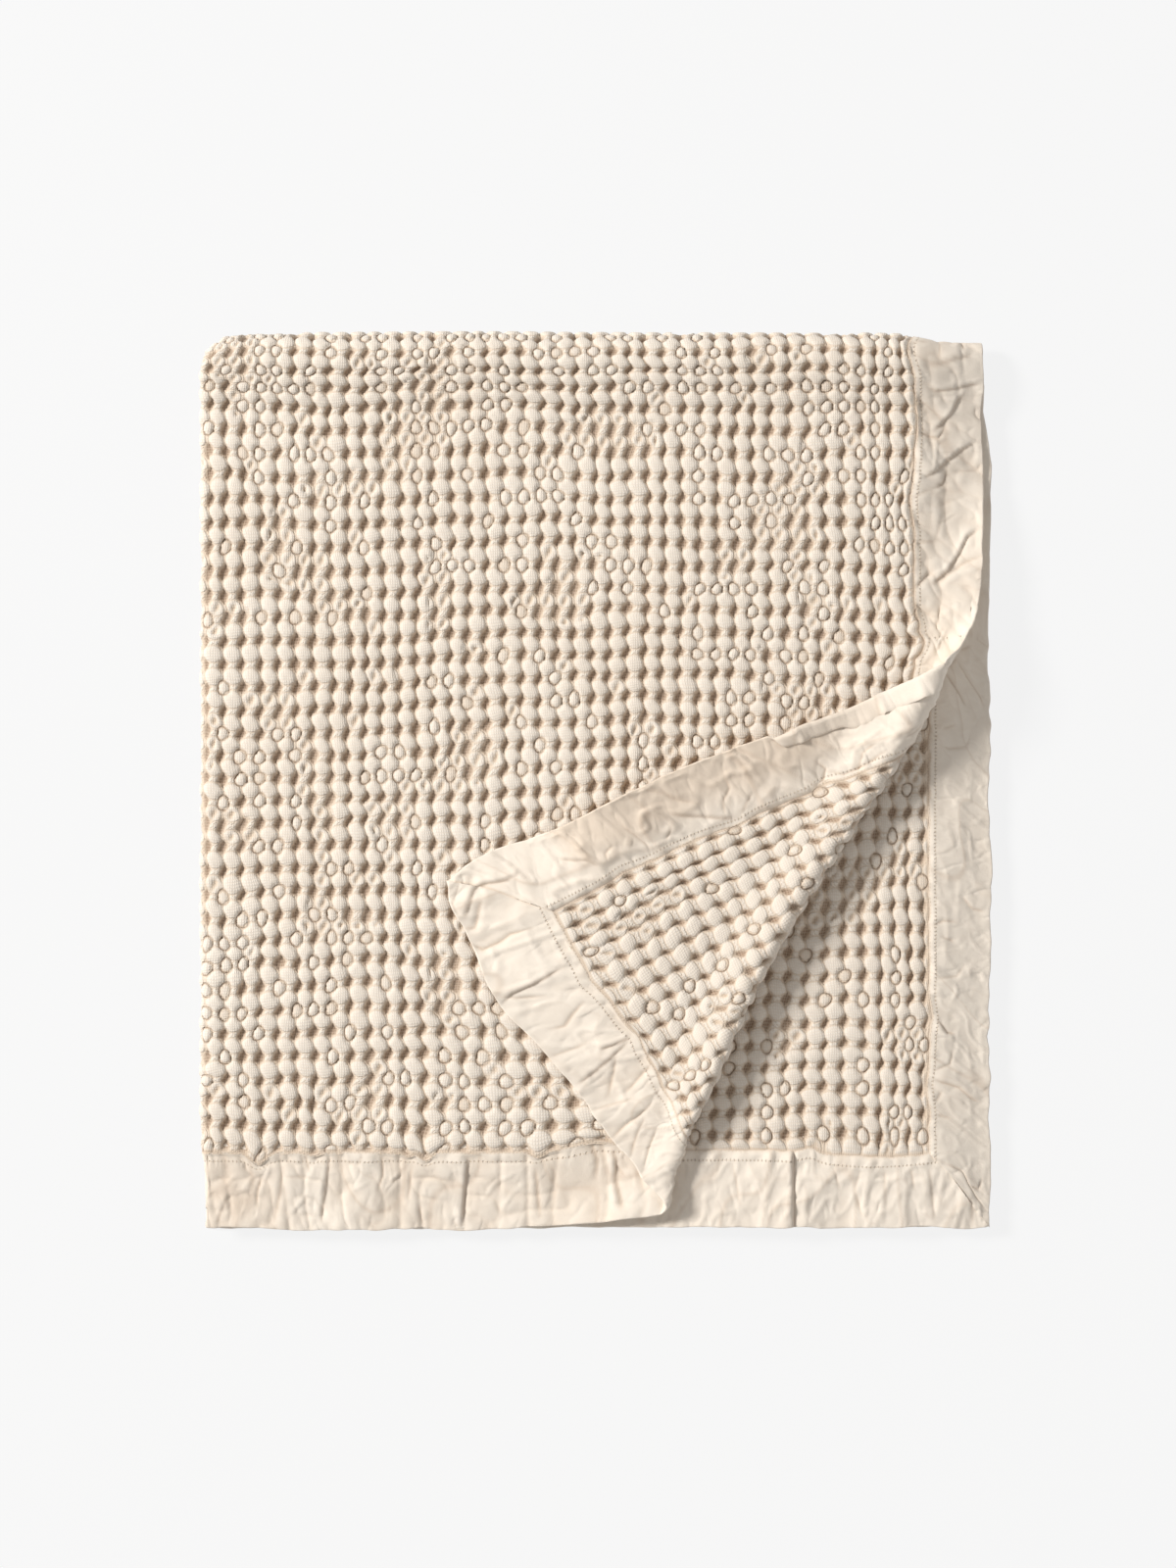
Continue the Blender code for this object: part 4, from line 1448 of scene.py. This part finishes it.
def plain_weave_group() -> bpy.types.NodeTree:
    """Crossing yarns of a plain weave: their height and how their tone varies from yarn to yarn."""
    group, wire, given, result = shader_group(
        "plain_weave",
        {"Place": ("NodeSocketVector", None), "Yarns": ("NodeSocketFloat", 1400.0)},
        {"Height": "NodeSocketFloat", "Tone": "NodeSocketFloat"},
    )
    place, yarns = given.outputs["Place"], given.outputs["Yarns"]
    scaled = wire.add("ShaderNodeVectorMath", {0: place, "Scale": yarns}, operation="SCALE")
    spread = wire.times(yarns, 0.11)
    wander = wire.add("ShaderNodeTexNoise", {"Vector": place, "Scale": spread}, noise_dimensions="2D")
    apart = wire.add("ShaderNodeSeparateXYZ", {0: scaled.outputs[0]})
    shift = wire.times(wander.outputs[0], 1.6)
    x, y = (wire.math("ADD", apart.outputs[k], shift) for k in (0, 1))
    warp, weft = (wire.size(wire.math("SINE", wire.times(turn, math.pi))) for turn in (x, y))
    wire.feed(wire.times(warp, weft), result.inputs["Height"])
    squeeze = wire.add("ShaderNodeCombineXYZ", {0: wire.times(x, 0.06), 1: y})
    inputs = {"Vector": squeeze.outputs[0], "Scale": 0.9}
    slub = wire.add("ShaderNodeTexNoise", inputs, noise_dimensions="2D")
    wire.feed(slub.outputs[0], result.inputs["Tone"])
    return group


def washed_tone_group() -> bpy.types.NodeTree:
    """Soft drifts of tone that washing leaves, at two scales."""
    group, wire, given, result = shader_group(
        "washed_tone",
        {"Place": ("NodeSocketVector", None), "Patch": ("NodeSocketFloat", 9.0)},
        {"Tone": "NodeSocketFloat"},
    )
    place, patch = given.outputs["Place"], given.outputs["Patch"]
    large = wire.add("ShaderNodeTexNoise", {"Vector": place, "Scale": patch})
    small = wire.add("ShaderNodeTexNoise", {"Vector": place, "Scale": wire.times(patch, 9.0)})
    small_part = wire.times(small.outputs[0], 0.4)
    both = wire.math("ADD", wire.times(large.outputs[0], 0.6), small_part)
    wire.feed(both, result.inputs["Tone"])
    return group


def fuzz_group() -> bpy.types.NodeTree:
    """Loose cotton fibre on the surface: a fine height."""
    group, wire, given, result = shader_group(
        "cotton_fuzz",
        {"Place": ("NodeSocketVector", None), "Grain": ("NodeSocketFloat", 900.0)},
        {"Height": "NodeSocketFloat"},
    )
    inputs = {"Vector": given.outputs["Place"], "Scale": given.outputs["Grain"]}
    fibre = wire.add("ShaderNodeTexNoise", {**inputs, "Detail": 3.0, "Roughness": 0.7})
    wire.feed(fibre.outputs[0], result.inputs["Height"])
    return group


def crumple_group() -> bpy.types.NodeTree:
    """Fine crumple of washed cloth: sharp valleys between soft lumps, running away from the seam."""
    group, wire, given, result = shader_group(
        "washed_crumple",
        {"Place": ("NodeSocketVector", None), "Size": ("NodeSocketFloat", 60.0)},
        {"Height": "NodeSocketFloat"},
    )
    slant, squeeze = (0.0, 0.0, math.radians(-28.0)), (1.0, 0.55, 1.0)
    inputs = {"Vector": given.outputs["Place"], "Rotation": slant, "Scale": squeeze}
    turned = wire.add("ShaderNodeMapping", inputs)
    inputs = {"Vector": turned.outputs[0], "Scale": given.outputs["Size"]}
    inputs.update({"Detail": 3.0, "Roughness": 0.55, "Distortion": 0.5})
    settings = {"noise_dimensions": "2D", "noise_type": "RIDGED_MULTIFRACTAL"}
    lumps = wire.add("ShaderNodeTexNoise", inputs, **settings)
    wire.feed(wire.times(lumps.outputs[0], -1.0), result.inputs["Height"])
    return group


@dataclass(frozen=True)
class CottonFinish:
    """A washed cotton: its colours, as linear red, green and blue, and its surface. Lit is its colour
    painted lit, shade the same colour painted in shade, and deep a darker painted shade for hollows, also
    used for washing's drifts of tone.
    """

    name: str
    lit: tuple[float, float, float]
    shade: tuple[float, float, float]
    deep: tuple[float, float, float]
    roughness: float = 0.92
    sheen: float = 0.12
    sheen_roughness: float = 0.6
    specular: float = 0.25

    def start(self) -> tuple[bpy.types.Material, NodeTree, bpy.types.Node]:
        """Starts the material: returns it, its wiring helper and its shader."""
        material = bpy.data.materials.new(self.name)
        material.use_nodes = True
        tree = material.node_tree
        shader = tree.nodes["Principled BSDF"]
        shader.inputs["Roughness"].default_value = self.roughness
        shader.inputs["Sheen Weight"].default_value = self.sheen
        shader.inputs["Sheen Roughness"].default_value = self.sheen_roughness
        shader.inputs["Specular IOR Level"].default_value = self.specular
        return material, NodeTree(tree), shader


Band = tuple[float, ...]


@dataclass(frozen=True)
class WaffleLook:
    """Where the waffle's tones lie. A band runs from its first to its second value, and then maps onto
    its third and fourth, 0 and 1 if it has none.
    """

    patch: float = 9.0
    grain: float = 1500.0
    yarns: float = 8.0
    off_pad: Band = (0.92, 1.10)
    braid_turns: float = 5.0
    braid_slant: float = 2.6
    neck_half: Band = (0.30, 0.20)
    braid: Band = (0.55, 0.05)
    above_cells: Band = (-0.35, 0.05)
    # Painted shade in rims round pads and popped buttons; a button's ring is shaded more on its left side,
    # in the shadow of the neck.
    rim_at: float = 1.02
    rim: Band = (0.17, 0.02)
    ring_shade_side: Band = (0.34, -0.22, 0.30, 1.0)
    # Painted shade by relief: deep shade on the cells' floors, shade on their walls, lit on pads and necks.
    deep_to_shade: Band = (-1.0, 0.0)
    shade_to_lit: Band = (-0.10, 0.42)
    # Share of painted shade in the crevices round pads and between braid strands.
    crevice_shade: float = 0.80
    # Share of painted shade in the gaps between the yarns on the pads.
    yarn_gap_shade: float = 0.42
    yarn_tone: float = 0.10
    # Share of painted shade in the buttons' rings.
    ring: float = 0.70
    washed: Band = (0.3, 0.7, 0.0, 0.10)
    washed_colour: tuple[float, ...] = (0.70, 0.56, 0.42, 1.0)
    fuzz_height: float = 0.6
    ring_depth: float = 3.0
    crevice_depth: float = 1.5
    bump: tuple[float, float] = (0.8, 0.00032)


@dataclass(frozen=True)
class BorderLook:
    """Where the borders' tones lie, with bands as in WaffleLook, and heights in millimetres."""

    patch: float = 14.0
    grain: float = 1300.0
    yarns: float = 1500.0
    crumple: float = 105.0
    hole_pitch: float = 0.0031
    hole_along: Band = (0.55, 0.15)
    hole_across: Band = (1.0, 0.4)
    # Painted shade by lift: low places in the crumple go towards shade, and so does the edge where it stands
    # high off the stack.
    low: Band = (-2.6, 0.6, 0.65, 1.0)
    high: Band = (2.0, 12.0, 0.0, 0.65)
    washed: Band = (0.35, 0.7, 0.0, 0.10)
    yarn_tone: float = 0.10
    # Shares of painted shade along crease lines and the seam's gap, and in the needle holes.
    crease: float = 0.55
    hole: float = 0.42
    weave_height: float = 0.30
    fine_height: float = 0.30
    hole_depth: float = 0.8
    bump: tuple[float, float] = (1.0, 0.0009)


@dataclass
class Finishes:
    """Builds the blanket's materials from shared groups."""

    waffle: CottonFinish = CottonFinish(
        "waffle_cotton_finish", (0.830, 0.766, 0.684), (0.700, 0.578, 0.455), (0.290, 0.195, 0.132)
    )
    border: CottonFinish = CottonFinish(
        "border_cotton_finish", (0.880, 0.792, 0.684), (0.740, 0.600, 0.465), (0.560, 0.410, 0.290)
    )
    thread: CottonFinish = CottonFinish(
        "thread_finish", (0.800, 0.700, 0.560), (0.600, 0.480, 0.350), (0.30, 0.20, 0.13)
    )
    waffle_look: WaffleLook = WaffleLook()
    border_look: BorderLook = BorderLook()
    thread_grain: float = 4000.0

    def __post_init__(self) -> None:
        """Builds the shared groups."""
        self.plain_weave = plain_weave_group()
        self.washed_tone = washed_tone_group()
        self.fuzz = fuzz_group()
        self.crumple = crumple_group()

    @staticmethod
    def placed(
        wire: NodeTree, group: bpy.types.NodeTree, place: Socket, **values: float
    ) -> bpy.types.Node:
        """Adds a shared group to a material, fed with a place and its own values."""
        return wire.add("ShaderNodeGroup", {"Place": place, **values}, node_tree=group)

    @staticmethod
    def attribute(wire: NodeTree, name: str) -> Socket:
        """Reads one of the mesh's attributes."""
        return wire.add("ShaderNodeAttribute", attribute_name=name).outputs["Fac"]

    @staticmethod
    def tones(finish: CottonFinish) -> tuple[tuple[float, ...], ...]:
        """A finish's lit, shaded and deep colours, each with its opacity."""
        return tuple((*colour, 1.0) for colour in (finish.lit, finish.shade, finish.deep))

    @staticmethod
    def bump(wire: NodeTree, height: Socket, size: tuple[float, float], shader: bpy.types.Node) -> None:
        """Feeds a height to the shader as a bump with a strength and a distance."""
        bump = wire.add("ShaderNodeBump", {"Strength": size[0], "Distance": size[1], "Height": height})
        wire.feed(bump.outputs[0], shader.inputs["Normal"])

    def waffle_material(self) -> bpy.types.Material:
        """Waffle cotton: pale pads, necks warmer with painted shade between braid strands, cells painted
        dark with deep shade, and painted shade in fine crevices and in rings round popped buttons.
        """
        look = self.waffle_look
        material, wire, shader = self.waffle.start()
        lit, shade, deep = self.tones(self.waffle)
        place = wire.add("ShaderNodeTexCoord").outputs["Object"]
        relief, pad, button = (self.attribute(wire, name) for name in ("relief", "pad", "button"))
        cells = wire.add("ShaderNodeUVMap", uv_map="cells").outputs[0]
        tone = self.placed(wire, self.washed_tone, place, Patch=look.patch).outputs["Tone"]
        fuzz = self.placed(wire, self.fuzz, place, Grain=look.grain).outputs["Height"]
        weave = self.placed(wire, self.plain_weave, cells, Yarns=look.yarns)

        apart = wire.add("ShaderNodeSeparateXYZ", {0: cells})
        dx = wire.math("SUBTRACT", wire.math("FRACT", apart.outputs[0]), 0.5)
        from_neck = wire.math("SUBTRACT", 0.5, wire.size(dx))
        off_pad = wire.band(pad, *look.off_pad)
        slant = wire.times(dx, look.braid_slant)
        stripe = wire.math("ADD", wire.times(apart.outputs[1], look.braid_turns), slant)
        stripe = wire.size(wire.math("SINE", wire.times(stripe, math.pi)))
        on_neck = wire.times(wire.band(from_neck, *look.neck_half), off_pad)
        braid = wire.times(wire.band(stripe, *look.braid), on_neck)
        above = wire.band(relief, *look.above_cells)
        rim, ring = (
            wire.band(wire.size(wire.math("SUBTRACT", near, look.rim_at)), *look.rim)
            for near in (pad, button)
        )
        # Painted shade in crevices: along pad rims and between braid strands, only above the cells; the same
        # mask also dips the bump.
        crevice_shade = wire.times(wire.math("MAXIMUM", rim, braid), above)
        # Painted shade in button rings, heavier on their left side, in the shadow of the neck.
        ring = wire.times(ring, wire.band(dx, *look.ring_shade_side))

        # Painted shade: the colour runs from deep in the cells through shade to lit by relief, then shade
        # goes into crevices and yarn gaps and deep into button rings.
        colour = wire.mix(wire.band(relief, *look.deep_to_shade), deep, shade)
        colour = wire.mix(wire.band(relief, *look.shade_to_lit), colour, lit)
        colour = wire.mix(wire.times(crevice_shade, look.crevice_shade), colour, shade)
        # Painted shade in the gaps between yarns, added to the yarns' own random tone.
        yarn_gap_shade = wire.math("MULTIPLY_ADD", weave.outputs["Height"], -look.yarn_gap_shade, look.yarn_gap_shade)
        yarns = wire.math("MULTIPLY_ADD", weave.outputs["Tone"], look.yarn_tone, yarn_gap_shade)
        colour = wire.mix(yarns, colour, shade)
        colour = wire.mix(wire.times(ring, look.ring), colour, deep)
        colour = wire.mix(wire.band(tone, *look.washed), colour, look.washed_colour, "MULTIPLY")
        wire.feed(colour, shader.inputs["Base Color"])

        height = wire.math("ADD", weave.outputs["Height"], wire.times(fuzz, look.fuzz_height))
        height = wire.math("SUBTRACT", height, wire.times(ring, look.ring_depth))
        height = wire.math("SUBTRACT", height, wire.times(crevice_shade, look.crevice_depth))
        self.bump(wire, height, look.bump, shader)
        return material

    def border_material(self) -> bpy.types.Material:
        """Border cotton: a close plain weave, with painted shade in its low places, creases and needle holes
        and where it stands off the stack.
        """
        look = self.border_look
        material, wire, shader = self.border.start()
        lit, shade, deep = self.tones(self.border)
        place = wire.add("ShaderNodeTexCoord").outputs["Object"]
        strip = wire.add("ShaderNodeUVMap", uv_map="weave").outputs[0]
        lift, crease, stitch = (self.attribute(wire, name) for name in ("lift", "crease", "stitch"))
        tone = self.placed(wire, self.washed_tone, place, Patch=look.patch).outputs["Tone"]
        fuzz = self.placed(wire, self.fuzz, place, Grain=look.grain).outputs["Height"]
        apart = wire.add("ShaderNodeSeparateXYZ", {0: strip})
        # Needle holes along the stitch line, painted with shade and dipped in the bump.
        beat = wire.math("SINE", wire.times(apart.outputs[0], math.pi / look.hole_pitch))
        beat = wire.band(wire.size(beat), *look.hole_along)
        hole = wire.times(beat, wire.band(wire.size(stitch), *look.hole_across))
        weave = self.placed(wire, self.plain_weave, strip, Yarns=look.yarns)
        crumple = self.placed(wire, self.crumple, strip, Size=look.crumple).outputs["Height"]

        # Painted shade by lift: towards shade in low places of the crumple and where the edge stands high
        # off the stack.
        colour = wire.mix(wire.band(lift, *look.low), shade, lit)
        colour = wire.mix(wire.band(lift, *look.high), colour, shade)
        colour = wire.mix(wire.band(tone, *look.washed), colour, deep)
        colour = wire.mix(wire.times(weave.outputs["Tone"], look.yarn_tone), colour, shade)
        # Painted shade along crease lines and the seam's gap, and in the needle holes.
        colour = wire.mix(wire.times(crease, look.crease), colour, deep)
        colour = wire.mix(wire.times(hole, look.hole), colour, deep)
        wire.feed(colour, shader.inputs["Base Color"])

        height = wire.math("ADD", wire.times(weave.outputs["Height"], look.weave_height), fuzz)
        height = wire.math("ADD", wire.times(height, look.fine_height), crumple)
        height = wire.math("SUBTRACT", height, wire.times(hole, look.hole_depth))
        self.bump(wire, height, look.bump, shader)
        return material

    def thread_material(self) -> bpy.types.Material:
        """Sewing thread: a fine twist."""
        material, wire, shader = self.thread.start()
        place = wire.add("ShaderNodeTexCoord").outputs["Object"]
        lit, shade, _ = self.tones(self.thread)
        fuzz = self.placed(wire, self.fuzz, place, Grain=self.thread_grain).outputs["Height"]
        colour = wire.mix(fuzz, shade, lit)
        wire.feed(colour, shader.inputs["Base Color"])
        return material


Runs = tuple[tuple[float, float, int], ...]


@dataclass(frozen=True)
class Stretch:
    """One stretch of the panel: runs of cell counts each way, with the lines that each cell gets."""

    name: str
    across: Runs
    along: Runs
    fine: frozenset[Face]
    openness: float = 1.0

    @staticmethod
    def lines(runs: Runs) -> Array:
        """Cell counts of the net's lines over the runs."""
        counts = []
        for start, end, per_cell in runs:
            inner = np.arange(math.ceil(start * per_cell + 0.3), math.floor(end * per_cell - 0.3) + 1)
            counts += [[start], inner / per_cell, [end]]
        return np.unique(np.concatenate(counts).round(7))


@dataclass
class WafflePanel:
    """The woven centre panel, in stretches as fine as each needs."""

    weave: Weave
    fine: int = 10
    medium: int = 6
    coarse: int = 2
    flap_openness: float = 0.66
    second_openness: float = 0.88
    fold_cut: float = -2.5
    side_cuts: tuple[float, float] = (12.5, 25.5)
    roll_cut: float = -4.5
    roll_crown: float = -0.5
    turn_cut: float = 15.5
    hidden_across: float = -26.5
    hidden_along: float = 16.5
    edge_across: float = 1.5
    edge_along: float = -6.5

    def stretches(self) -> list[Stretch]:
        """The panel's stretches, cut through the middles of cells."""
        sheet, fine, medium, coarse = self.weave.cloth.sheet, self.fine, self.medium, self.coarse
        seam = self.weave.cells_across(sheet.side_seam)
        end = self.weave.cells_along(sheet.end_seam)
        a_side, b_side = frozenset({Face.A}), frozenset({Face.B})
        left, right = self.side_cuts
        over_roll = (self.roll_cut, self.roll_crown, medium)
        down = (over_roll, (self.roll_crown, end, fine))
        to_turn = (over_roll, (self.roll_crown, self.turn_cut, fine))
        turned = ((self.turn_cut, end, fine),)
        beside = ((right, seam, fine),)
        second_across = ((-seam, self.hidden_across, fine), (self.hidden_across, self.fold_cut, coarse))
        second_along = ((self.roll_cut, self.hidden_along, coarse), (self.hidden_along, end, fine))
        near = self.edge_across
        lower_across = ((-seam, -near, coarse), (-near, near, medium), (near, seam, coarse))
        lower_along = ((-end, self.edge_along, coarse), (self.edge_along, self.roll_cut, medium))
        return [
            Stretch("waffle_top_left", ((self.fold_cut, left, fine),), down, a_side),
            Stretch("waffle_top_middle", ((left, right, fine),), down, a_side),
            Stretch("waffle_top_right", beside, to_turn, a_side),
            Stretch("waffle_turned_corner", beside, turned, a_side | b_side, self.flap_openness),
            Stretch("waffle_second_layer", second_across, second_along, b_side, self.second_openness),
            Stretch("waffle_lower_layers", lower_across, lower_along, a_side),
        ]

    def build(self) -> list[tuple[bpy.types.Object, tuple[float, float]]]:
        """Weaves the stretches.

        Returns:
            Each piece with its flat size.
        """
        pieces = []
        for stretch in self.stretches():
            a_lines, b_lines = Stretch.lines(stretch.across), Stretch.lines(stretch.along)
            piece = self.weave.patch(stretch.name, a_lines, b_lines, stretch.fine, stretch.openness)
            ends_u, ends_v = self.weave.plain(a_lines[[0, -1]], b_lines[[0, -1]])
            pieces.append((piece, (float(np.ptp(ends_u)), float(np.ptp(ends_v)))))
        return pieces


@dataclass
class Stitching:
    """Running stitches beside each seam, laid along a path by Geometry Nodes."""

    cloth: FoldedCloth
    pitch: float = 0.0030
    stitch: float = 0.0021
    thread: float = 0.00032
    path_step: float = 0.0015
    from_edge: float = 0.0008
    sits: float = 0.3
    bead_sides: tuple[int, int] = (4, 2)

    def tree(self) -> bpy.types.NodeTree:
        """Builds the tree that turns a path into stitches."""
        group = bpy.data.node_groups.new("running_stitch", "GeometryNodeTree")
        face = group.interface
        face.new_socket("Path", in_out="INPUT", socket_type="NodeSocketGeometry")
        for label in ("Pitch", "Length", "Thread"):
            face.new_socket(label, in_out="INPUT", socket_type="NodeSocketFloat")
        face.new_socket("Finish", in_out="INPUT", socket_type="NodeSocketMaterial")
        face.new_socket("Stitches", in_out="OUTPUT", socket_type="NodeSocketGeometry")
        wire = NodeTree(group)
        given, result = wire.add("NodeGroupInput"), wire.add("NodeGroupOutput")
        path, pitch, length, thread, finish = (
            given.outputs[label] for label in ("Path", "Pitch", "Length", "Thread", "Finish")
        )
        curve = wire.add("GeometryNodeMeshToCurve", {"Mesh": path})
        inputs = {"Curve": curve.outputs[0], "Length": pitch}
        spaced = wire.add("GeometryNodeResampleCurve", inputs, mode="LENGTH")
        tangent = wire.add("GeometryNodeInputTangent").outputs[0]
        turned = wire.add("FunctionNodeAlignRotationToVector", {"Vector": tangent}, axis="X")
        segments, rings = self.bead_sides
        inputs = {"Radius": 0.5, "Segments": segments, "Rings": rings}
        bead = wire.add("GeometryNodeMeshUVSphere", inputs)
        thick = wire.times(thread, 2.0)
        shape = wire.add("ShaderNodeCombineXYZ", {0: length, 1: thick, 2: thick})
        inputs = {"Points": spaced.outputs[0], "Instance": bead.outputs["Mesh"]}
        inputs.update({"Rotation": turned.outputs[0], "Scale": shape.outputs[0]})
        placed = wire.add("GeometryNodeInstanceOnPoints", inputs)
        real = wire.add("GeometryNodeRealizeInstances", {0: placed.outputs[0]})
        inputs = {"Geometry": real.outputs[0], "Material": finish}
        dressed = wire.add("GeometryNodeSetMaterial", inputs)
        wire.feed(dressed.outputs[0], result.inputs[0])
        return group

    def path(self, border: Border, across: float, face: Face) -> Array:
        """Points on one face of a border, at a distance in from its seam."""
        span = float(border.half_span(np.array(across)))
        along = np.arange(-span, span, self.path_step)
        across_line = np.full_like(along, across)
        u, v = border.flat(along, border.wavered(along, across_line))
        lift, _ = border.settled(along, across_line)
        rise = lift + face.value * (border.half_thickness(across_line) + self.sits * self.thread)
        points = self.cloth.points(u, v) + self.cloth.normals(u, v) * rise[..., None]
        points[..., 2] = np.maximum(points[..., 2], self.thread)
        return points

    def build(self, name: str, paths: Sequence[Array], finish: bpy.types.Material) -> bpy.types.Object:
        """Sews along the paths.

        Args:
            name: The piece's name.
            paths: Points of each row of stitches.
            finish: The thread's material.

        Returns:
            The stitches as one plain mesh.
        """
        points, edges = [], []
        for path in paths:
            first = len(points)
            points += [tuple(p) for p in path]
            edges += [(first + i, first + i + 1) for i in range(len(path) - 1)]
        mesh = bpy.data.meshes.new(name + "_path")
        mesh.from_pydata(points, edges, [])
        guide = bpy.data.objects.new(name + "_path", mesh)
        bpy.context.scene.collection.objects.link(guide)
        modifier = guide.modifiers.new("stitches", "NODES")
        modifier.node_group = bpy.data.node_groups.get("running_stitch") or self.tree()
        values = {"Pitch": self.pitch, "Length": self.stitch, "Thread": self.thread, "Finish": finish}
        for item in modifier.node_group.interface.items_tree:
            if item.in_out == "INPUT" and item.name in values:
                modifier[item.identifier] = values[item.name]
        graph = bpy.context.evaluated_depsgraph_get()
        made = bpy.data.meshes.new_from_object(guide.evaluated_get(graph))
        made.name = name
        piece = bpy.data.objects.new(name, made)
        bpy.context.scene.collection.objects.link(piece)
        bpy.data.objects.remove(guide)
        return piece


@dataclass(frozen=True)
class Light:
    """One square soft light: where it stands and its size in metres, its power and its colour."""

    name: str
    place: tuple[float, float, float]
    size: float
    power: float
    colour: tuple[float, float, float]


@dataclass
class Studio:
    """The camera above the blanket, the floor and the soft lights.

    The photo is measured in its own pixels: its height, its middle and where the stack's middle lies.
    """

    metres_per_pixel: float = 0.00079
    picture_height: float = 1600.0
    picture_middle: tuple[float, float] = (600.0, 800.0)
    stack_middle: tuple[float, float] = (608.0, 798.5)
    focal_length: float = 85.0
    sensor: float = 36.0
    clip_end: float = 20.0
    level: float = 0.035
    floor_half: float = 6.0
    floor_tone: float = 0.08
    floor_glow: float = 0.845
    surround: float = 0.37
    lamps: tuple[Light, ...] = (
        Light("key", (-5.2, 2.0, 4.2), 1.5, 560.0, (1.0, 0.985, 0.965)),
        Light("fill", (1.8, -1.4, 2.2), 2.0, 8.0, (1.0, 0.97, 0.94)),
    )

    def camera(self) -> None:
        """Looks straight down, framing the photo's field."""
        data = bpy.data.cameras.new("camera")
        data.lens = self.focal_length
        data.sensor_width = self.sensor
        data.clip_end = self.clip_end
        camera = bpy.data.objects.new("camera", data)
        tall = self.picture_height * self.metres_per_pixel
        height = self.level + tall * self.focal_length / self.sensor
        x = (self.picture_middle[0] - self.stack_middle[0]) * self.metres_per_pixel
        y = (self.stack_middle[1] - self.picture_middle[1]) * self.metres_per_pixel
        camera.location = (x, y, height)
        bpy.context.scene.collection.objects.link(camera)
        bpy.context.scene.camera = camera

    def floor(self) -> None:
        """A plain white floor that glows a little, so that it stays as even as the photo's ground."""
        mesh = bpy.data.meshes.new("floor")
        half = self.floor_half
        corners = [(-half, -half, 0.0), (half, -half, 0.0), (half, half, 0.0), (-half, half, 0.0)]
        mesh.from_pydata(corners, [], [(0, 1, 2, 3)])
        floor = bpy.data.objects.new("floor", mesh)
        bpy.context.scene.collection.objects.link(floor)
        material = bpy.data.materials.new("floor_white")
        material.use_nodes = True
        shader = material.node_tree.nodes["Principled BSDF"]
        shader.inputs["Base Color"].default_value = (self.floor_tone,) * 3 + (1.0,)
        shader.inputs["Roughness"].default_value = 1.0
        shader.inputs["Specular IOR Level"].default_value = 0.0
        shader.inputs["Emission Color"].default_value = (1.0, 1.0, 1.0, 1.0)
        shader.inputs["Emission Strength"].default_value = self.floor_glow
        mesh.materials.append(material)

    @staticmethod
    def hang(light: Light) -> None:
        """Hangs a light and aims it at the blanket."""
        data = bpy.data.lights.new(light.name, "AREA")
        data.size, data.energy, data.color = light.size, light.power, light.colour
        lamp = bpy.data.objects.new(light.name, data)
        lamp.location = light.place
        lamp.rotation_euler = (-Vector(light.place)).to_track_quat("-Z", "Y").to_euler()
        bpy.context.scene.collection.objects.link(lamp)

    def lights(self) -> None:
        """A key from the upper left, a weak fill from the lower right and an even surround."""
        for light in self.lamps:
            self.hang(light)
        world = bpy.data.worlds.new("surround")
        world.use_nodes = True
        world.node_tree.nodes["Background"].inputs[0].default_value = (1.0, 1.0, 1.0, 1.0)
        world.node_tree.nodes["Background"].inputs[1].default_value = self.surround
        bpy.context.scene.world = world

    def build(self) -> None:
        """Sets the whole studio up."""
        bpy.context.scene.view_settings.view_transform = "Standard"
        self.camera()
        self.floor()
        self.lights()


@dataclass
class Blanket:
    """The whole blanket: panel, borders and stitches."""

    cloth: FoldedCloth = field(default_factory=FoldedCloth)

    def borders(self) -> list[Border]:
        """The four border strips, each as fine along its length as what shows of it needs."""
        half_width, half_length = self.cloth.sheet.half_width, self.cloth.sheet.half_length
        fine, medium, coarse = 0.0014, 0.0017, 0.0055
        near_turn, open_end = 0.25, -0.36
        both = {Face.A, Face.B}
        down = [(-half_length, 0.0, coarse), (0.0, near_turn, medium), (near_turn, half_length, fine)]
        shown = [(-half_length, near_turn, coarse), (near_turn, half_length, fine)]
        whole = [(-half_length, half_length, coarse)]
        end_runs = [(-half_width, open_end, fine), (open_end, 0.0, coarse), (0.0, half_width, fine)]
        return [
            Border(self.cloth, "side_border_outer", True, 1.0, 31, down, 0.00135, both, Curl(), Flare()),
            Border(
                self.cloth, "side_border_inner", True, -1.0, 37, shown, 0.00125, {Face.B},
                crumple=0.0010, edge_waver=0.0020,
            ),
            Border(self.cloth, "end_border_upper", False, 1.0, 41, end_runs, 0.00145, both, crumple=0.0019),
            Border(self.cloth, "end_border_lower", False, -1.0, 43, whole, 0.0045, both),
        ]

    def build(self) -> None:
        """Makes, dresses and places every piece."""
        finishes = Finishes()
        waffle, cotton = finishes.waffle_material(), finishes.border_material()
        thread = finishes.thread_material()
        for piece, size in WafflePanel(Weave(self.cloth)).build():
            piece.data.materials.append(waffle)
            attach(piece, "root")
            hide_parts("waffle_panel")
            LOG.info("%s: %d faces", piece.name, len(piece.data.polygons))
        borders = self.borders()
        for border in borders:
            piece = border.build()
            piece.data.materials.append(cotton)
            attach(piece, "root")
            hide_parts(border.node)
            LOG.info("%s: %d faces", piece.name, len(piece.data.polygons))
        stitching = Stitching(self.cloth)
        for border in borders[:3]:
            rows = (stitching.from_edge - border.overlap, border.stitch_line)
            faces = sorted(border.fine, key=str)
            paths = [stitching.path(border, across, face) for face in faces for across in rows]
            piece = stitching.build(f"{border.node}_stitches", paths, thread)
            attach(piece, "root")
            LOG.info("%s: %d faces", piece.name, len(piece.data.polygons))


def main() -> None:
    """Builds the blanket and its studio, and notes the sizes."""
    logging.basicConfig(level=logging.INFO, format="%(message)s")
    Blanket().build()
    Studio().build()


if __name__ == "__main__":
    main()
